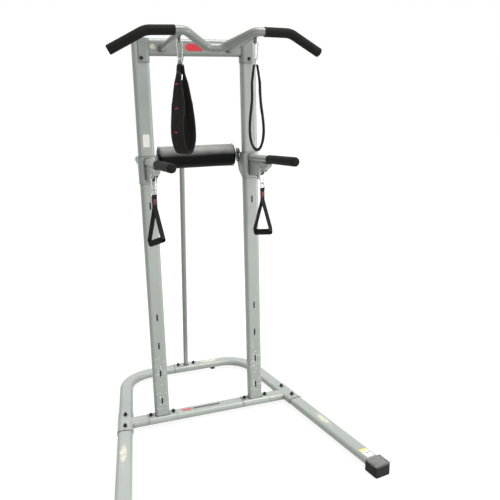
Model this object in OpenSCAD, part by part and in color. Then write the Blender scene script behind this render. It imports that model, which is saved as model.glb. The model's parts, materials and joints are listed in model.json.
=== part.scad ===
// Power tower: a free-standing pull-up, dip and knee-raise station.
// A splayed tube base carries two slotted uprights, a top crossbeam with a bent
// pull-up bar, and a carriage with dip handles and a back roll that slides on
// the uprights. Arm slings and hand grips hang from spring hooks.
// X runs left to right, Y front to back and Z up from the floor. The modules
// draw everything from the front plane of the uprights, and tower() moves it
// so that the origin is at the middle of the footprint. Lengths are in mm.

/* [Base frame] */
// Width of a base tube
base_tube_w = 80; // [60:1:90]
// Height of a base tube
base_tube_h = 40; // [38:1:50]
// Rubber under the base tubes
foot_h = 21; // [12:1:30]
// Half the distance between the side tubes, at the cross member
side_x = 491; // [450:1:540]
// Angle by which each side tube splays outwards
leg_splay = 8.5; // [5:0.1:12]
// Length of a front leg, from the cross member to the front of its cap
leg_length = 897; // [700:1:1000]
// Distance from the uprights to the middle of the rear tube
rear_y = 635; // [560:1:700]
// Bend radius of the rear corners
corner_bend_r = 200; // [150:1:240]

/* [Foot caps] */
// Width of a foot cap
cap_w = 98; // [96:1:120]
// Height of a foot cap
cap_h = 68; // [67:1:80]
// Length of a foot cap
cap_l = 76; // [60:1:120]
// Rounding of a foot cap
cap_r = 15; // [6:1:18]
// Depth of the rubber in front of the tube end
cap_nose = 14; // [6:1:20]
// Distance of a rear foot from the middle
rear_foot_x = 190; // [130:1:210]
// Distance of a rear foot behind the middle of the rear tube
rear_foot_back = 6; // [-6:1:6]
// Diameter of a rear foot
rear_foot_d = 32; // [24:1:34]

/* [Tubes and plates] */
// Corner radius of the flat oval tubes
tube_r = 18; // [10:1:18]
// Wall of the tubes
tube_wall = 2; // [1.5:0.1:3]
// Thickness of the saddles and brackets
plate = 3; // [2:0.1:4]
// Length of a saddle on an upright or on the brace
saddle_l = 160; // [155:1:190]
// Depth of a saddle's sides below the middle of its tube
saddle_skirt = 9; // [4:1:18]
// Length of the saddles at the ends of the cross member
end_saddle_l = 208; // [180:1:240]

/* [Uprights] */
// Half the distance between the uprights
upright_x = 281.5; // [260:0.5:300]
// Width of an upright
upright_w = 82; // [74:1:90]
// Depth of an upright
upright_d = 52; // [44:1:56]
// Height of the top of an upright
upright_top = 2096; // [2050:1:2098]
// Width of a lock slot
slot_w = 8; // [7.5:0.1:10]
// Height of a lock slot
slot_h = 39; // [36:1:50]
// Distance from one slot to the next
slot_pitch = 165.5; // [150:0.5:180]
// Height of the lowest slot
low_slot_z = 157; // [150:1:170]
// Number of slots near the base
low_slots = 4; // [2:1:5]
// Number of slots at the dip height
high_slots = 2; // [1:1:3]

/* [Top crossbeam] */
// Height of the crossbeam tube
beam_h = 84; // [70:1:90]
// Depth of the crossbeam tube
beam_d = 40; // [38:1:44]
// From the top of the uprights down to the middle of the crossbeam
beam_drop = 35.5; // [34:0.5:38]
// Length by which the end channels reach below the crossbeam
channel_drop = 30; // [26:1:40]
// Part of each channel past the middle of its upright
channel_past = 13; // [8:1:18]

/* [Pull-up bar] */
// Diameter of the pull-up bar
bar_d = 38; // [32:1:42]
// Diameter of the grips on the bar
bar_grip_d = 43; // [42:1:50]
// Distance of the bar in front of the uprights
bar_y = -432; // [-470:1:-400]
// Height of the bar at the grips above the middle of the crossbeam
bar_rise = 20.5; // [15:0.5:22]
// Half the distance between the raised shoulders of the bar
shoulder_x = 160; // [150:1:166]
// Half the width of the low middle of the bar
middle_x = 36; // [24:1:44]
// How far the middle of the bar sets back
middle_back = 98; // [70:1:105]
// How far the middle of the bar drops
middle_drop = 56; // [40:1:60]
// Half the distance between the outer bends
outer_bend_x = 330; // [320:1:345]
// Half the length of the bar
bar_end_x = 482; // [470:1:500]
// Drop from the outer bend to the end of the bar
end_drop = 79; // [60:1:90]
// How far the ends of the bar set back
end_back = 22; // [0:1:40]
// Start of a grip, from the middle
bar_grip_x = 204; // [200:1:230]
// Diameter of the two arms that hold the bar
arm_d = 32; // [28:1:34]
// Half the distance between the arms
arm_x = 176; // [172:1:182]
// Depth of the arms' rear ends below the middle of the crossbeam
arm_drop = 10.5; // [5:0.5:16]

/* [Rear brace] */
// Diameter of the brace
brace_d = 30; // [25:1:34]
// Angle by which the brace leans forward
brace_lean = 7.1; // [5:0.1:9]
// Bend radius at its top
brace_bend_r = 100; // [80:1:130]

/* [Dip carriage] */
// Height of the slot that the locks face at rest
lock_slot_z = 1434.66; // [1430:0.01:1438]
// Height of the slots that the locks enter above the lower edge of the brackets
lock_up = 45.66; // [45:0.01:46.4]
// Height of a carriage bracket in front
bracket_h = 135; // [132:1:150]
// Running clearance between the carriage and the uprights
run_gap = 0.3; // [0.2:0.05:0.5]
// Thickness of the plastic glides
glide = 1.2; // [0.8:0.1:2]
// Diameter of the guide rollers behind the uprights
roller_d = 28; // [24:1:32]
// Height of the guide rollers above the lower edge of the brackets
roller_up = 121; // [119:1:123]
// Height of the back roll's axis above the lower edge of the brackets
roll_up = 120; // [116:1:124]
// Distance of the back roll's axis behind the front of the uprights
roll_y = 95; // [92:1:104]
// Diameter of the back roll
roll_d = 124; // [100:1:128]
// Gap between an end of the back roll and the bracket beside it
roll_gap = 23.7; // [12:0.1:40]
// Diameter of the tube through the back roll
roll_tube_d = 32; // [25:1:36]
// Diameter of a dip handle tube
handle_d = 38; // [32:1:40]
// Diameter of a dip handle grip
handle_grip_d = 43; // [42:1:50]
// Height of a handle above the lower edge of the brackets
handle_up = 107; // [104:1:110]
// Reach of a dip handle in front of the uprights
handle_reach = 600; // [540:1:640]
// Length of a dip handle grip
handle_grip_l = 330; // [250:1:360]
// Upward angle of the handles
handle_rise = 1.8; // [0:0.1:3]

/* [Gussets and locks] */
// Gap between the two plates of a gusset
gusset_gap = 18; // [18:1:24]
// Diameter of the hook hole in a gusset
hook_hole_d = 14; // [12:1:15]
// Distance of the hook hole in front of the uprights
hook_hole_y = -195; // [-200:1:-185]
// Thickness of a lock plate
lock_t = 5; // [4:0.5:7]
// Diameter of a lock's pivot pin
lock_pin_d = 8; // [6:1:9]

/* [Spring hooks and rings] */
// Wire of a spring hook
hook_wire = 5.5; // [5:0.5:6]
// Length of a spring hook
hook_l = 84; // [76:1:92]
// Radius of its wide end
hook_big_r = 13.5; // [12:0.5:14]
// Radius of its narrow end
hook_small_r = 9; // [8.5:0.5:10]
// Wire of a delta ring
ring_wire = 4; // [3.5:0.5:4.5]
// Height of a delta ring
ring_h = 34; // [30:1:38]

/* [Slings and hand grips] */
// Length of an arm sling
sling_l = 388; // [340:1:400]
// Width of the sling band
sling_w = 98; // [80:1:110]
// Outer width of the sling's loop
sling_open = 78; // [68:1:90]
// Thickness of the padded band
sling_t = 13; // [9:0.5:15]
// Turn of the left and right slings about the vertical
sling_turn = [22, -19.5];
// Width of the hand grip strap
strap_w = 28; // [22:1:30]
// Thickness of the hand grip strap
strap_t = 3; // [2:0.5:4]
// Length of the hand grip strap, from its ring to the handle
strap_l = 228; // [200:1:260]
// Diameter of a hand grip
hand_d = 31; // [26:1:34]
// Length of a hand grip
hand_l = 106; // [96:1:120]
// Turn of the hand grips about the vertical
hand_turn = -62; // [-70:1:-50]
// Height of the front end of each hand grip above its middle
hand_tilt = [20, 8];
// Turn of the hooks in the gussets about the vertical
hand_hook_turn = -40; // [-45:1:-30]

/* [Fasteners] */
// Diameter of the frame bolts
bolt_d = 10; // [8:1:10]
// Clearance of a bolt in its hole
bolt_gap = 0.5; // [0.3:0.1:0.6]
// Distance of the upright bolts from the middle of an upright
upright_bolt = 65; // [62:1:68]
// Distance of the side bolts from the middle of their saddle
side_bolt = 62; // [50:1:80]
// Distance of the brace bolts from the middle
brace_bolt = 53; // [40:1:65]

/* [Hidden] */

$fn = 48;
eps = 0.01;
far = 3000;             // longer than any cut
fit = 0.3;              // gap between pieces that seat on each other
lap = 1;                // length by which a straight reaches into a bend
proud = 0.1;            // thickness by which a bend covers that end

frame_grey = [0.64, 0.68, 0.65];
rubber_grey = [0.25, 0.25, 0.25];
black = [0.08, 0.08, 0.08];
zinc = [0.78, 0.79, 0.76];

// Heights and depths of the frame
base_z = foot_h + base_tube_h / 2;
base_top = foot_h + base_tube_h;
saddle_top = base_top + fit + plate;
mid_y = upright_d / 2;

// The rear U: where its side lines meet the rear line, and its bends
turn = 90 - leg_splay;
corner_x = side_x - (rear_y - mid_y) * tan(leg_splay);
bend_x = corner_x - corner_bend_r * tan(turn / 2);
bend_y = rear_y - corner_bend_r;
side_len = norm([bend_x + corner_bend_r * cos(leg_splay) - side_x,
                 bend_y + corner_bend_r * sin(leg_splay) - mid_y]);

foot_plug_d = 12;       // plug of a rear foot

// The footprint reaches from the foremost cap corner to the back of the rear tube
cap_front = mid_y - (leg_length - cap_r) * cos(leg_splay) - (cap_w / 2 - cap_r) * sin(leg_splay) - cap_r;
tower_y = -(cap_front + rear_y + base_tube_w / 2) / 2;

// Every bolt of the base, as [x, y]
base_bolts_xy = [
    for (s = [-1, 1], t = [-1, 1]) [s * (upright_x + t * upright_bolt), mid_y],
    for (s = [-1, 1], t = [-1, 1])
        [s * (side_x + t * side_bolt * sin(leg_splay)), mid_y - t * side_bolt * cos(leg_splay)],
    for (s = [-1, 1]) [s * brace_bolt, rear_y]
];

beam_z = upright_top - beam_drop;
arm_z = beam_z - arm_drop;
bar_z = beam_z + bar_rise;

// Pull-up bar: its corner points, from the middle to the right end
bar_half = [
    [middle_x, bar_y + middle_back, bar_z - middle_drop],
    [shoulder_x, bar_y, bar_z + 4],
    [outer_bend_x, bar_y, bar_z],
    [bar_end_x, bar_y + end_back, bar_z - end_drop]
];
bar_bends = [55, 60, 90, 0];
bar_points = concat([for (i = [3:-1:0]) [-bar_half[i].x, bar_half[i].y, bar_half[i].z]], bar_half);
bar_radii = concat([for (i = [3:-1:0]) bar_bends[i]], bar_bends);
channel_z = beam_z - beam_h / 2 - channel_drop;
beam_bolt_z = channel_z + 19;
eye_y = bar_y + 45;
eye_r = 12;
eye_wire = 8;
arm_reach = mid_y - beam_d / 2 - bar_y;     // from the crossbeam's front to the bar
eye_z = arm_z + (bar_z - arm_z) * (mid_y - beam_d / 2 - eye_y) / arm_reach - arm_d / 2 - 22;

// Dip carriage
shell = run_gap + glide + fit;              // from an upright to its bracket
bracket_z = lock_slot_z - lock_up;          // lower edge of the brackets
flange_bolt = roll_tube_d / 2 + 10;         // from the roll tube's axis to a flange bolt
flange_h = 2 * flange_bolt + 22;            // flanges of the roll's tube
flange_w = roll_tube_d + 6;
ear_out = upright_w / 2 + shell + plate;    // outer face of an ear, from the middle of its upright
flange_x = upright_x - ear_out;             // inner face of the inner ears
roll_l = 2 * (flange_x - roll_gap);
roll_z = bracket_z + roll_up;
handle_z = bracket_z + handle_up;
roller_y = upright_d + run_gap + roller_d / 2;
roller_z = bracket_z + roller_up;
roller_pin_d = 10;
roll_edge = 8;                              // rounding of the back roll's rims
ear_top = roller_z + roller_d + 6;
ear_back = roll_y + 20;
high_slot_z = lock_slot_z - slot_pitch * (high_slots - 1);
lock_pivot = [-16, bracket_z + 76];
hook_hole_z = bracket_z + 66;

// Hanging pieces: heights of wires, from the top down
sling_hook_z = eye_z + eye_wire / 2 + hook_wire / 2 + fit;
bow_in = hook_big_r - hook_wire / 2;        // inside of the wide bow, which bends over its hole's edges
hole_span = (plate / 2 + hook_wire / 2 * sin(-hand_hook_turn)) / cos(hand_hook_turn);
hole_ride = bow_in - sqrt(bow_in * bow_in - hole_span * hole_span);
hand_hook_z = hook_hole_z - hook_hole_d / 2 + hook_wire / 2 + hole_ride + 0.8;
hook_drop = hook_l - hook_wire;             // between the middles of the end bows
ring_down = hook_drop - hook_wire / 2 - ring_wire / 2 - fit;
sling_top_w = 24;                           // width of the webbing on the ring
ring_w = max(strap_w, sling_top_w) + 4 * ring_wire;
strap_down = ring_down + ring_h - ring_wire;
hand_strap_turn = hand_turn - hand_hook_turn;

// ---------------------------------------------------------------- shared shapes

// Moves a piece from the front plane of the uprights to the part's own frame
module tower() translate([0, tower_y, 0]) children();

// The right-hand piece for side 1, its mirror image for side -1
module sided(side) if (side < 0) mirror([1, 0, 0]) children(); else children();

// Flat oval or rounded rectangle
module oval(w, h, r) {
    square([w - 2 * r, h], center = true);
    square([w, h - 2 * r], center = true);
    for (x = [-1, 1], y = [-1, 1])
        translate([x * (w / 2 - r), y * (h / 2 - r)]) circle(r);
}

// Hollow oval section
module oval_tube(w, h, r) difference() {
    oval(w, h, r);
    oval(w - 2 * tube_wall, h - 2 * tube_wall, r - tube_wall);
}

// Stretches a section along X or along Y
module along_x(length) rotate([90, 0, 90]) linear_extrude(length, center = true) children();
module along_y(length) rotate([90, 0, 0]) linear_extrude(length, center = true) children();

// Places its children at p with their Z axis along d
module aim(p, d) translate(p) rotate([0, acos(d.z / norm(d)), atan2(d.y, d.x)]) children();

// Round rod from p to q
module rod(p, q, r) aim(p, q - p) cylinder(h = norm(q - p), r = r);

function unit(v) = v / norm(v);
function bend_angle(a, b, c) = 180 - acos(unit(a - b) * unit(c - b));
function bend_trim(a, b, c, r) = r * tan(bend_angle(a, b, c) / 2);

// Round bend at b between the legs to a and c
module bend(a, b, c, bend_r, r) {
    u = unit(a - b);
    v = unit(c - b);
    angle = bend_angle(a, b, c);
    mid = b + unit(u + v) * bend_r / cos(angle / 2);
    x = unit(b + u * bend_trim(a, b, c, bend_r) - mid);
    z = unit(cross(v, u));
    y = cross(z, x);
    multmatrix([[x.x, y.x, z.x, mid.x], [x.y, y.y, z.y, mid.y], [x.z, y.z, z.z, mid.z]])
        rotate_extrude(angle = angle) translate([bend_r, 0]) circle(r + proud);
}

// Round rod through a row of corner points, bent to the radius given at each
module bent_rod(points, radii, r) {
    last = len(points) - 1;
    trim = [for (i = [0:last])
        i == 0 || i == last ? 0 : bend_trim(points[i - 1], points[i], points[i + 1], radii[i])];
    for (i = [0:last - 1]) {
        d = unit(points[i + 1] - points[i]);
        start = points[i] + d * max(trim[i] - lap, 0);
        end = points[i + 1] - d * max(trim[i + 1] - lap, 0);
        rod(start, end, r);
    }
    for (i = [1:last - 1]) bend(points[i - 1], points[i], points[i + 1], radii[i], r);
}

// Space that a saddle leaves for the base tube below it, drawn in section
module saddle_space() {
    oval(base_tube_w + 2 * fit, base_tube_h + 2 * fit, tube_r + fit);
    translate([-base_tube_w / 2 - fit, -base_tube_h]) square([base_tube_w + 2 * fit, base_tube_h]);
}

// Outside of a saddle: round over the tube and straight down its sides
module saddle_outline() {
    grow = 2 * (fit + plate);
    intersection() {
        union() {
            oval(base_tube_w + grow, base_tube_h + grow, tube_r + grow / 2);
            translate([-(base_tube_w + grow) / 2, -base_tube_h]) square([base_tube_w + grow, base_tube_h]);
        }
        translate([-base_tube_w, -saddle_skirt]) square([2 * base_tube_w, 2 * base_tube_h]);
    }
}

// Upright holes for the base bolts
module bolt_holes(low, high) for (p = base_bolts_xy)
    translate([p.x, p.y, low]) cylinder(h = high - low, d = bolt_d + 2 * bolt_gap);

// Places its children on the right side tube, X across it and Y along it
module on_side_tube() translate([side_x, mid_y, base_z]) rotate([0, 0, leg_splay]) children();

// ---------------------------------------------------------------- base frame

// Rear tube with its two bent corners and the rear halves of the side tubes
module rear_u_tube() color(frame_grey) tower() difference() {
    rear_u(0, 0);
    rear_u(tube_wall, 1);
    bolt_holes(0, base_top + 1);
    for (x = [-1, 1]) translate([x * rear_foot_x, rear_y + rear_foot_back, 0])
        cylinder(h = base_z, d = foot_plug_d + 2 * fit);
}

// The rear U as a solid bar, drawn in by inset and longer by extra at its ends
module rear_u(inset, extra) {
    w = base_tube_w - 2 * inset;
    h = base_tube_h - 2 * inset;
    translate([0, rear_y, base_z]) along_x(2 * (bend_x + lap)) oval(w, h, tube_r - inset);
    for (side = [-1, 1]) sided(side) {
        translate([bend_x, bend_y, base_z]) rotate([0, 0, leg_splay])
            rotate_extrude(angle = turn) translate([corner_bend_r, 0])
                oval(w + 2 * proud, h + 2 * proud, tube_r - inset + proud);
        on_side_tube() translate([0, (side_len + lap - extra) / 2, 0])
            along_y(side_len + lap + extra) oval(w, h, tube_r - inset);
    }
}

// Front leg, from under the cross member's saddle into its foot cap
module leg(side) color(frame_grey) tower() difference() {
    tube_l = leg_length - cap_nose;
    sided(side) on_side_tube() translate([0, -tube_l / 2, 0]) along_y(tube_l)
        oval_tube(base_tube_w, base_tube_h, tube_r);
    bolt_holes(0, base_top + 1);
}
module leg_left() leg(-1);
module leg_right() leg(1);

// Cross tube with a saddle over the side tube at each end
module cross_member() color(frame_grey) tower() difference() {
    union() {
        translate([0, mid_y, base_z]) along_x(2 * side_x) oval(base_tube_w, base_tube_h, tube_r);
        for (side = [-1, 1]) sided(side) on_side_tube() along_y(end_saddle_l) saddle_outline();
    }
    translate([0, mid_y, base_z])
        along_x(2 * (side_x - base_tube_w / 2 / cos(leg_splay) - plate - 12))
            oval(base_tube_w - 2 * tube_wall, base_tube_h - 2 * tube_wall, tube_r - tube_wall);
    for (side = [-1, 1]) sided(side) on_side_tube() along_y(2 * end_saddle_l) saddle_space();
    bolt_holes(0, saddle_top + 1);
}

// Rubber boot on the end of a leg
module foot_cap(side) color(rubber_grey) tower() sided(side) on_side_tube() translate([0, 0, -base_z])
    difference() {
        intersection() {
            translate([0, cap_l / 2 - leg_length, cap_h / 2]) along_y(cap_l) oval(cap_w, cap_h, cap_r);
            translate([0, cap_l - leg_length, 0]) linear_extrude(cap_h) oval(cap_w, 2 * cap_l, cap_r);
            translate([0, cap_l - leg_length, 0]) along_x(cap_w)
                oval(2 * cap_l, 2 * (cap_h - 1), cap_r * 1.2);
        }
        translate([0, cap_nose - leg_length + cap_l / 2, base_z])
            along_y(cap_l) oval(base_tube_w + 2 * fit, base_tube_h + 2 * fit, tube_r + fit);
    }
module foot_cap_left() foot_cap(-1);
module foot_cap_right() foot_cap(1);

// Round rubber foot under the rear tube, with a plug pressed into the tube
module rear_foot(side) color(black) tower()
    translate([side * rear_foot_x, rear_y + rear_foot_back, 0]) {
    cylinder(h = foot_h, d = rear_foot_d);
    cylinder(h = foot_h + tube_wall + 6, d = foot_plug_d);
}
module rear_foot_left() rear_foot(-1);
module rear_foot_right() rear_foot(1);

// ---------------------------------------------------------------- uprights

// Heights of the middles of all lock slots
slot_heights = concat([for (i = [0:low_slots - 1]) low_slot_z + i * slot_pitch],
                      [for (i = [0:high_slots - 1]) high_slot_z + i * slot_pitch]);

// Tall slot with round ends through the front wall of an upright
module lock_slot() rotate([90, 0, 0]) linear_extrude(2 * (tube_wall + 1), center = true) {
    square([slot_w, slot_h - slot_w], center = true);
    for (z = [-1, 1]) translate([0, z * (slot_h - slot_w) / 2]) circle(d = slot_w);
}

// Slotted tube on its saddle
module upright(side) color(frame_grey) tower() difference() {
    union() {
        translate([side * upright_x, mid_y, base_z])
            linear_extrude(upright_top - base_z) oval(upright_w, upright_d, tube_r);
        translate([side * upright_x, mid_y, base_z]) along_x(saddle_l) saddle_outline();
    }
    translate([side * upright_x, mid_y, saddle_top]) linear_extrude(far)
        oval(upright_w - 2 * tube_wall, upright_d - 2 * tube_wall, tube_r - tube_wall);
    translate([0, mid_y, base_z]) along_x(far) saddle_space();
    for (z = slot_heights) translate([side * upright_x, 0, z]) lock_slot();
    translate([side * upright_x, mid_y, beam_bolt_z]) rotate([90, 0, 0])
        cylinder(h = 2 * upright_d, d = bolt_d + 2 * bolt_gap, center = true);
    bolt_holes(base_z, saddle_top + 1);
}
module upright_left() upright(-1);
module upright_right() upright(1);

// Plastic plug in the top of an upright
module upright_plug(side) color(black) tower() translate([side * upright_x, mid_y, upright_top]) {
    linear_extrude(3) oval(upright_w, upright_d, tube_r);
    translate([0, 0, -20]) linear_extrude(20) difference() {
        oval(upright_w - 2 * tube_wall - fit, upright_d - 2 * tube_wall - fit, tube_r - tube_wall - fit / 2);
        oval(upright_w - 2 * tube_wall - 6, upright_d - 2 * tube_wall - 6, tube_r - tube_wall - 3);
    }
}
module upright_plug_left() upright_plug(-1);
module upright_plug_right() upright_plug(1);

// ---------------------------------------------------------------- rear brace

brace_foot = [0, rear_y, base_z];
brace_knee = [0, rear_y - (beam_z - base_z) * tan(brace_lean), beam_z];
brace_head = [0, mid_y + beam_d / 2, beam_z];

// Round tube from the rear saddle up to a flange on the back of the crossbeam
module rear_brace() color(frame_grey) tower() difference() {
    union() {
        bent_rod([brace_foot, brace_knee, brace_head], [0, brace_bend_r, 0], brace_d / 2);
        translate(brace_foot) along_x(saddle_l) saddle_outline();
        translate(brace_head + [0, 2, 0]) rotate([90, 0, 0])
            linear_extrude(4, center = true) oval(80, 46, 8);
    }
    difference() {
        bent_rod([brace_foot, brace_knee, brace_head], [0, brace_bend_r, 0], brace_d / 2 - tube_wall);
        translate([-far / 2, rear_y - 100, 0]) cube([far, 200, saddle_top]);
        translate([-far / 2, brace_head.y - 50, beam_z - 100]) cube([far, 54, 200]);
    }
    translate(brace_foot) along_x(2 * saddle_l) saddle_space();
    for (x = [-1, 1]) translate(brace_head + [x * 29, 0, 0]) rotate([90, 0, 0])
        cylinder(h = 20, d = 9, center = true);
    bolt_holes(base_z, saddle_top + 1);
}

// ---------------------------------------------------------------- top crossbeam

// Crossbeam with a channel at each end that wraps the inner half of an upright
module top_crossbeam() color(frame_grey) tower() difference() {
    wrap = 2 * (fit + plate);
    union() {
        translate([0, mid_y, beam_z]) along_x(2 * upright_x) oval(beam_d, beam_h, tube_r);
        for (side = [-1, 1]) translate([side * upright_x, mid_y, channel_z])
            linear_extrude(beam_h + channel_drop)
                oval(upright_w + wrap, upright_d + wrap, tube_r + fit + plate);
    }
    translate([0, mid_y, beam_z]) along_x(2 * (upright_x - upright_w / 2 - fit - plate))
        oval(beam_d - 2 * tube_wall, beam_h - 2 * tube_wall, tube_r - tube_wall);
    for (side = [-1, 1]) translate([side * upright_x, mid_y, 0]) {
        linear_extrude(far) oval(upright_w + 2 * fit, upright_d + 2 * fit, tube_r + fit);
        translate([side > 0 ? channel_past : -channel_past - far, -far / 2, 0]) cube([far, far, far]);
        translate([0, 0, beam_bolt_z]) rotate([90, 0, 0])
            cylinder(h = 2 * upright_d, d = bolt_d + 2 * bolt_gap, center = true);
    }
    for (x = [-1, 1]) translate(brace_head + [x * 29, 0, 0]) rotate([90, 0, 0])
        cylinder(h = 20, d = 9, center = true);
}

// Bent bar with its two arms and the wire eyes below them, welded together
module pull_up_bar() color(frame_grey) tower() difference() {
    union() {
        bent_rod(bar_points, bar_radii, bar_d / 2);
        for (side = [-1, 1]) sided(side) {
            rod([arm_x, mid_y, arm_z], [arm_x, bar_y, bar_z], arm_d / 2);
            eye();
        }
    }
    bent_rod(bar_points, bar_radii, bar_d / 2 - tube_wall);
    for (side = [-1, 1]) sided(side)
        rod([arm_x, mid_y, arm_z], [arm_x, bar_y + bar_d / 2 + tube_wall, bar_z], arm_d / 2 - tube_wall);
    translate([-far / 2, mid_y - beam_d / 2, arm_z - 100]) cube([far, 200, 200]);
}

// Wire eye under the right arm
module eye() translate([arm_x, eye_y, eye_z + eye_r]) {
    rotate([0, 0, 90]) rotate([90, 180, 0]) rotate_extrude(angle = 180)
        translate([eye_r, 0]) circle(r = eye_wire / 2 + proud);
    for (y = [-1, 1]) translate([0, y * eye_r, -lap]) cylinder(h = 14, d = eye_wire);
}

// Grip over the outer bend, closed round the end of the bar
module pull_up_grip(side) color(rubber_grey) tower() sided(side) difference() {
    tail = bar_half[3] + fit * unit(bar_half[3] - bar_half[2]);
    start = bar_half[1] + (bar_grip_x - shoulder_x) / (outer_bend_x - shoulder_x)
            * (bar_half[2] - bar_half[1]);
    union() {
        bent_rod([start, bar_half[2], tail], [0, bar_bends[2], 0], bar_grip_d / 2);
        aim(tail, tail - bar_half[2]) dome(bar_grip_d / 2, 5);
    }
    bent_rod(bar_points, bar_radii, bar_d / 2 + fit);
}
module pull_up_grip_left() pull_up_grip(-1);
module pull_up_grip_right() pull_up_grip(1);

// Flat dome of radius r and height h with a rounded edge
module dome(r, h) rotate_extrude() intersection() {
    translate([0, -eps]) square([r, h + eps]);
    union() {
        translate([r - h, 0]) circle(h);
        translate([0, -h]) square([r - h, 2 * h]);
    }
}

// ---------------------------------------------------------------- frame fasteners

hex_d = 17 / cos(30);
washer_t = 2;

// Bolts that come up through the base tubes, heads below
module base_bolts() color(black) tower() for (p = base_bolts_xy) translate([p.x, p.y, foot_h]) {
    translate([0, 0, -6.4]) cylinder(h = 6.4, d = hex_d, $fn = 6);
    translate([0, 0, -eps]) cylinder(h = base_tube_h + fit + plate + washer_t + 12, d = bolt_d);
}

// Flat washers under the cap nuts
module base_washers() color(black) tower() for (p = base_bolts_xy) translate([p.x, p.y, saddle_top])
    difference() {
        cylinder(h = washer_t, d = 21);
        translate([0, 0, -1]) cylinder(h = washer_t + 2, d = bolt_d + bolt_gap);
    }

// Cap nuts with a dome over the thread
module base_nuts() color(black) tower() for (p = base_bolts_xy)
    translate([p.x, p.y, saddle_top + washer_t]) difference() {
        union() {
            cylinder(h = 8, d = hex_d, $fn = 6);
            translate([0, 0, 8]) dome(7.6, 7);
        }
        translate([0, 0, -1]) cylinder(h = 13.5, d = bolt_d + 2 * fit);
    }

// Bolts and nuts through the channels, and the screws of the brace's flange
module crossbeam_bolts() color(black) tower() {
    front = mid_y - upright_d / 2 - fit - plate;
    back = mid_y + upright_d / 2 + fit + plate;
    for (side = [-1, 1]) translate([side * upright_x, 0, beam_bolt_z]) rotate([-90, 0, 0]) {
        translate([0, 0, front - 5]) dome_head(9, 5);
        translate([0, 0, front - eps]) cylinder(h = back - front + 10, d = bolt_d);
        translate([0, 0, back]) difference() {
            cylinder(h = 8, d = hex_d, $fn = 6);
            translate([0, 0, -1]) cylinder(h = 10, d = bolt_d + 2 * fit);
        }
    }
    for (x = [-1, 1]) translate(brace_head + [x * 29, 4, 0]) rotate([90, 0, 0]) {
        translate([0, 0, -5]) dome_head(7, 5);
        translate([0, 0, -eps]) cylinder(h = 12, d = 8);
    }
}

// Button head that faces down its own Z axis
module dome_head(r, h) translate([0, 0, h]) mirror([0, 0, 1]) dome(r, h);

// ---------------------------------------------------------------- dip carriage

// Inner side of a bracket, with the tall ear that carries the back roll
module inner_side() {
    polygon([[-shell - plate, bracket_z], [upright_d * 0.45, bracket_z], [roll_y - 14, bracket_z + 36],
             [roll_y + 2, bracket_z + 70], [roll_y + 13, bracket_z + 92], [ear_back, ear_top - 18],
             [ear_back - 18, ear_top], [ear_back - 36, ear_top], [ear_back - 54, ear_top - 18],
             [upright_d * 0.6, bracket_z + bracket_h], [-shell - plate, bracket_z + bracket_h]]);
    for (y = [18, 36]) translate([ear_back - y, ear_top - 18]) circle(18);
}

// Outer side of a bracket, with a low ear for the roller's bolt
module outer_side() {
    polygon([[-shell - plate, bracket_z], [upright_d * 0.45, bracket_z], [upright_d * 0.7, roller_z - 24],
             [roller_y + 14, roller_z - 20], [roller_y + 18, roller_z - 16],
             [roller_y + 18, roller_z + 14], [roller_y + 12, roller_z + 18],
             [upright_d * 0.6, bracket_z + bracket_h], [-shell - plate, bracket_z + bracket_h]]);
}

// Bent plate round the front and sides of the right upright, with ears behind it
module bracket_shell() intersection() {
    translate([0, 0, bracket_z - 1]) linear_extrude(200) difference() {
        translate([0, far / 2 - shell - plate])
            oval(upright_w + 2 * (shell + plate), far, tube_r + shell + plate);
        translate([0, far / 2 - shell]) oval(upright_w + 2 * shell, far, tube_r + shell);
    }
    union() {
        translate([-eps, 0, 0]) rotate([90, 0, -90]) linear_extrude(far) mirror([1, 0]) inner_side();
        translate([-2 * eps, 0, 0]) rotate([90, 0, 90]) linear_extrude(far) outer_side();
    }
}

// Outline of a gusset plate, in side view
module gusset_side() polygon([[-shell - plate / 2, bracket_z + 14], [-60, bracket_z + 17],
    [-140, bracket_z + 24], [-158, bracket_z + 30], [-262, bracket_z + 74], [-276, bracket_z + 82],
    [-280, bracket_z + 92], [-shell - plate / 2, bracket_z + handle_up]]);

// Front edge of a gusset, where the sheet is folded across from plate to plate
module gusset_fold() polygon([[-224, bracket_z + 58], [-262, bracket_z + 74], [-276, bracket_z + 82],
    [-280, bracket_z + 92], [-277, bracket_z + 92], [-273.5, bracket_z + 84], [-261, bracket_z + 77],
    [-224, bracket_z + 61.5]]);

// Channel of two plates and the fold between them
module gusset() {
    for (x = [-1, 1]) translate([x * (gusset_gap + plate) / 2, 0, 0]) rotate([90, 0, 90])
        linear_extrude(plate, center = true) gusset_side();
    rotate([90, 0, 90]) linear_extrude(gusset_gap + plate, center = true) gusset_fold();
}

handle_start = [0, -shell - plate, handle_z];
handle_dir = [0, -cos(handle_rise), sin(handle_rise)];

// Bracket with its lower lip and gusset
module carriage_bracket(side) color(frame_grey) tower() sided(side) translate([upright_x, 0, 0])
    difference() {
        union() {
            bracket_shell();
            lower_lip();
            gusset();
        }
        aim(handle_start, handle_dir) cylinder(h = 400, d = handle_d + 2 * fit);
        translate([0, hook_hole_y, hook_hole_z]) rotate([0, 90, 0])
            cylinder(h = 100, d = hook_hole_d, center = true);
        translate([0, lock_pivot.x, lock_pivot.y]) rotate([0, 90, 0])
            cylinder(h = 100, d = lock_pin_d + 0.6, center = true);
        translate([0, roller_y, roller_z]) rotate([0, 90, 0])
            cylinder(h = far, d = roller_pin_d + 2 * fit, center = true);
        for (z = [-1, 1]) translate([0, roll_y, roll_z + z * flange_bolt]) rotate([0, -90, 0])
            cylinder(h = far, d = 9);
        lock_window(plate);
    }
module carriage_bracket_left() carriage_bracket(-1);
module carriage_bracket_right() carriage_bracket(1);

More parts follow.
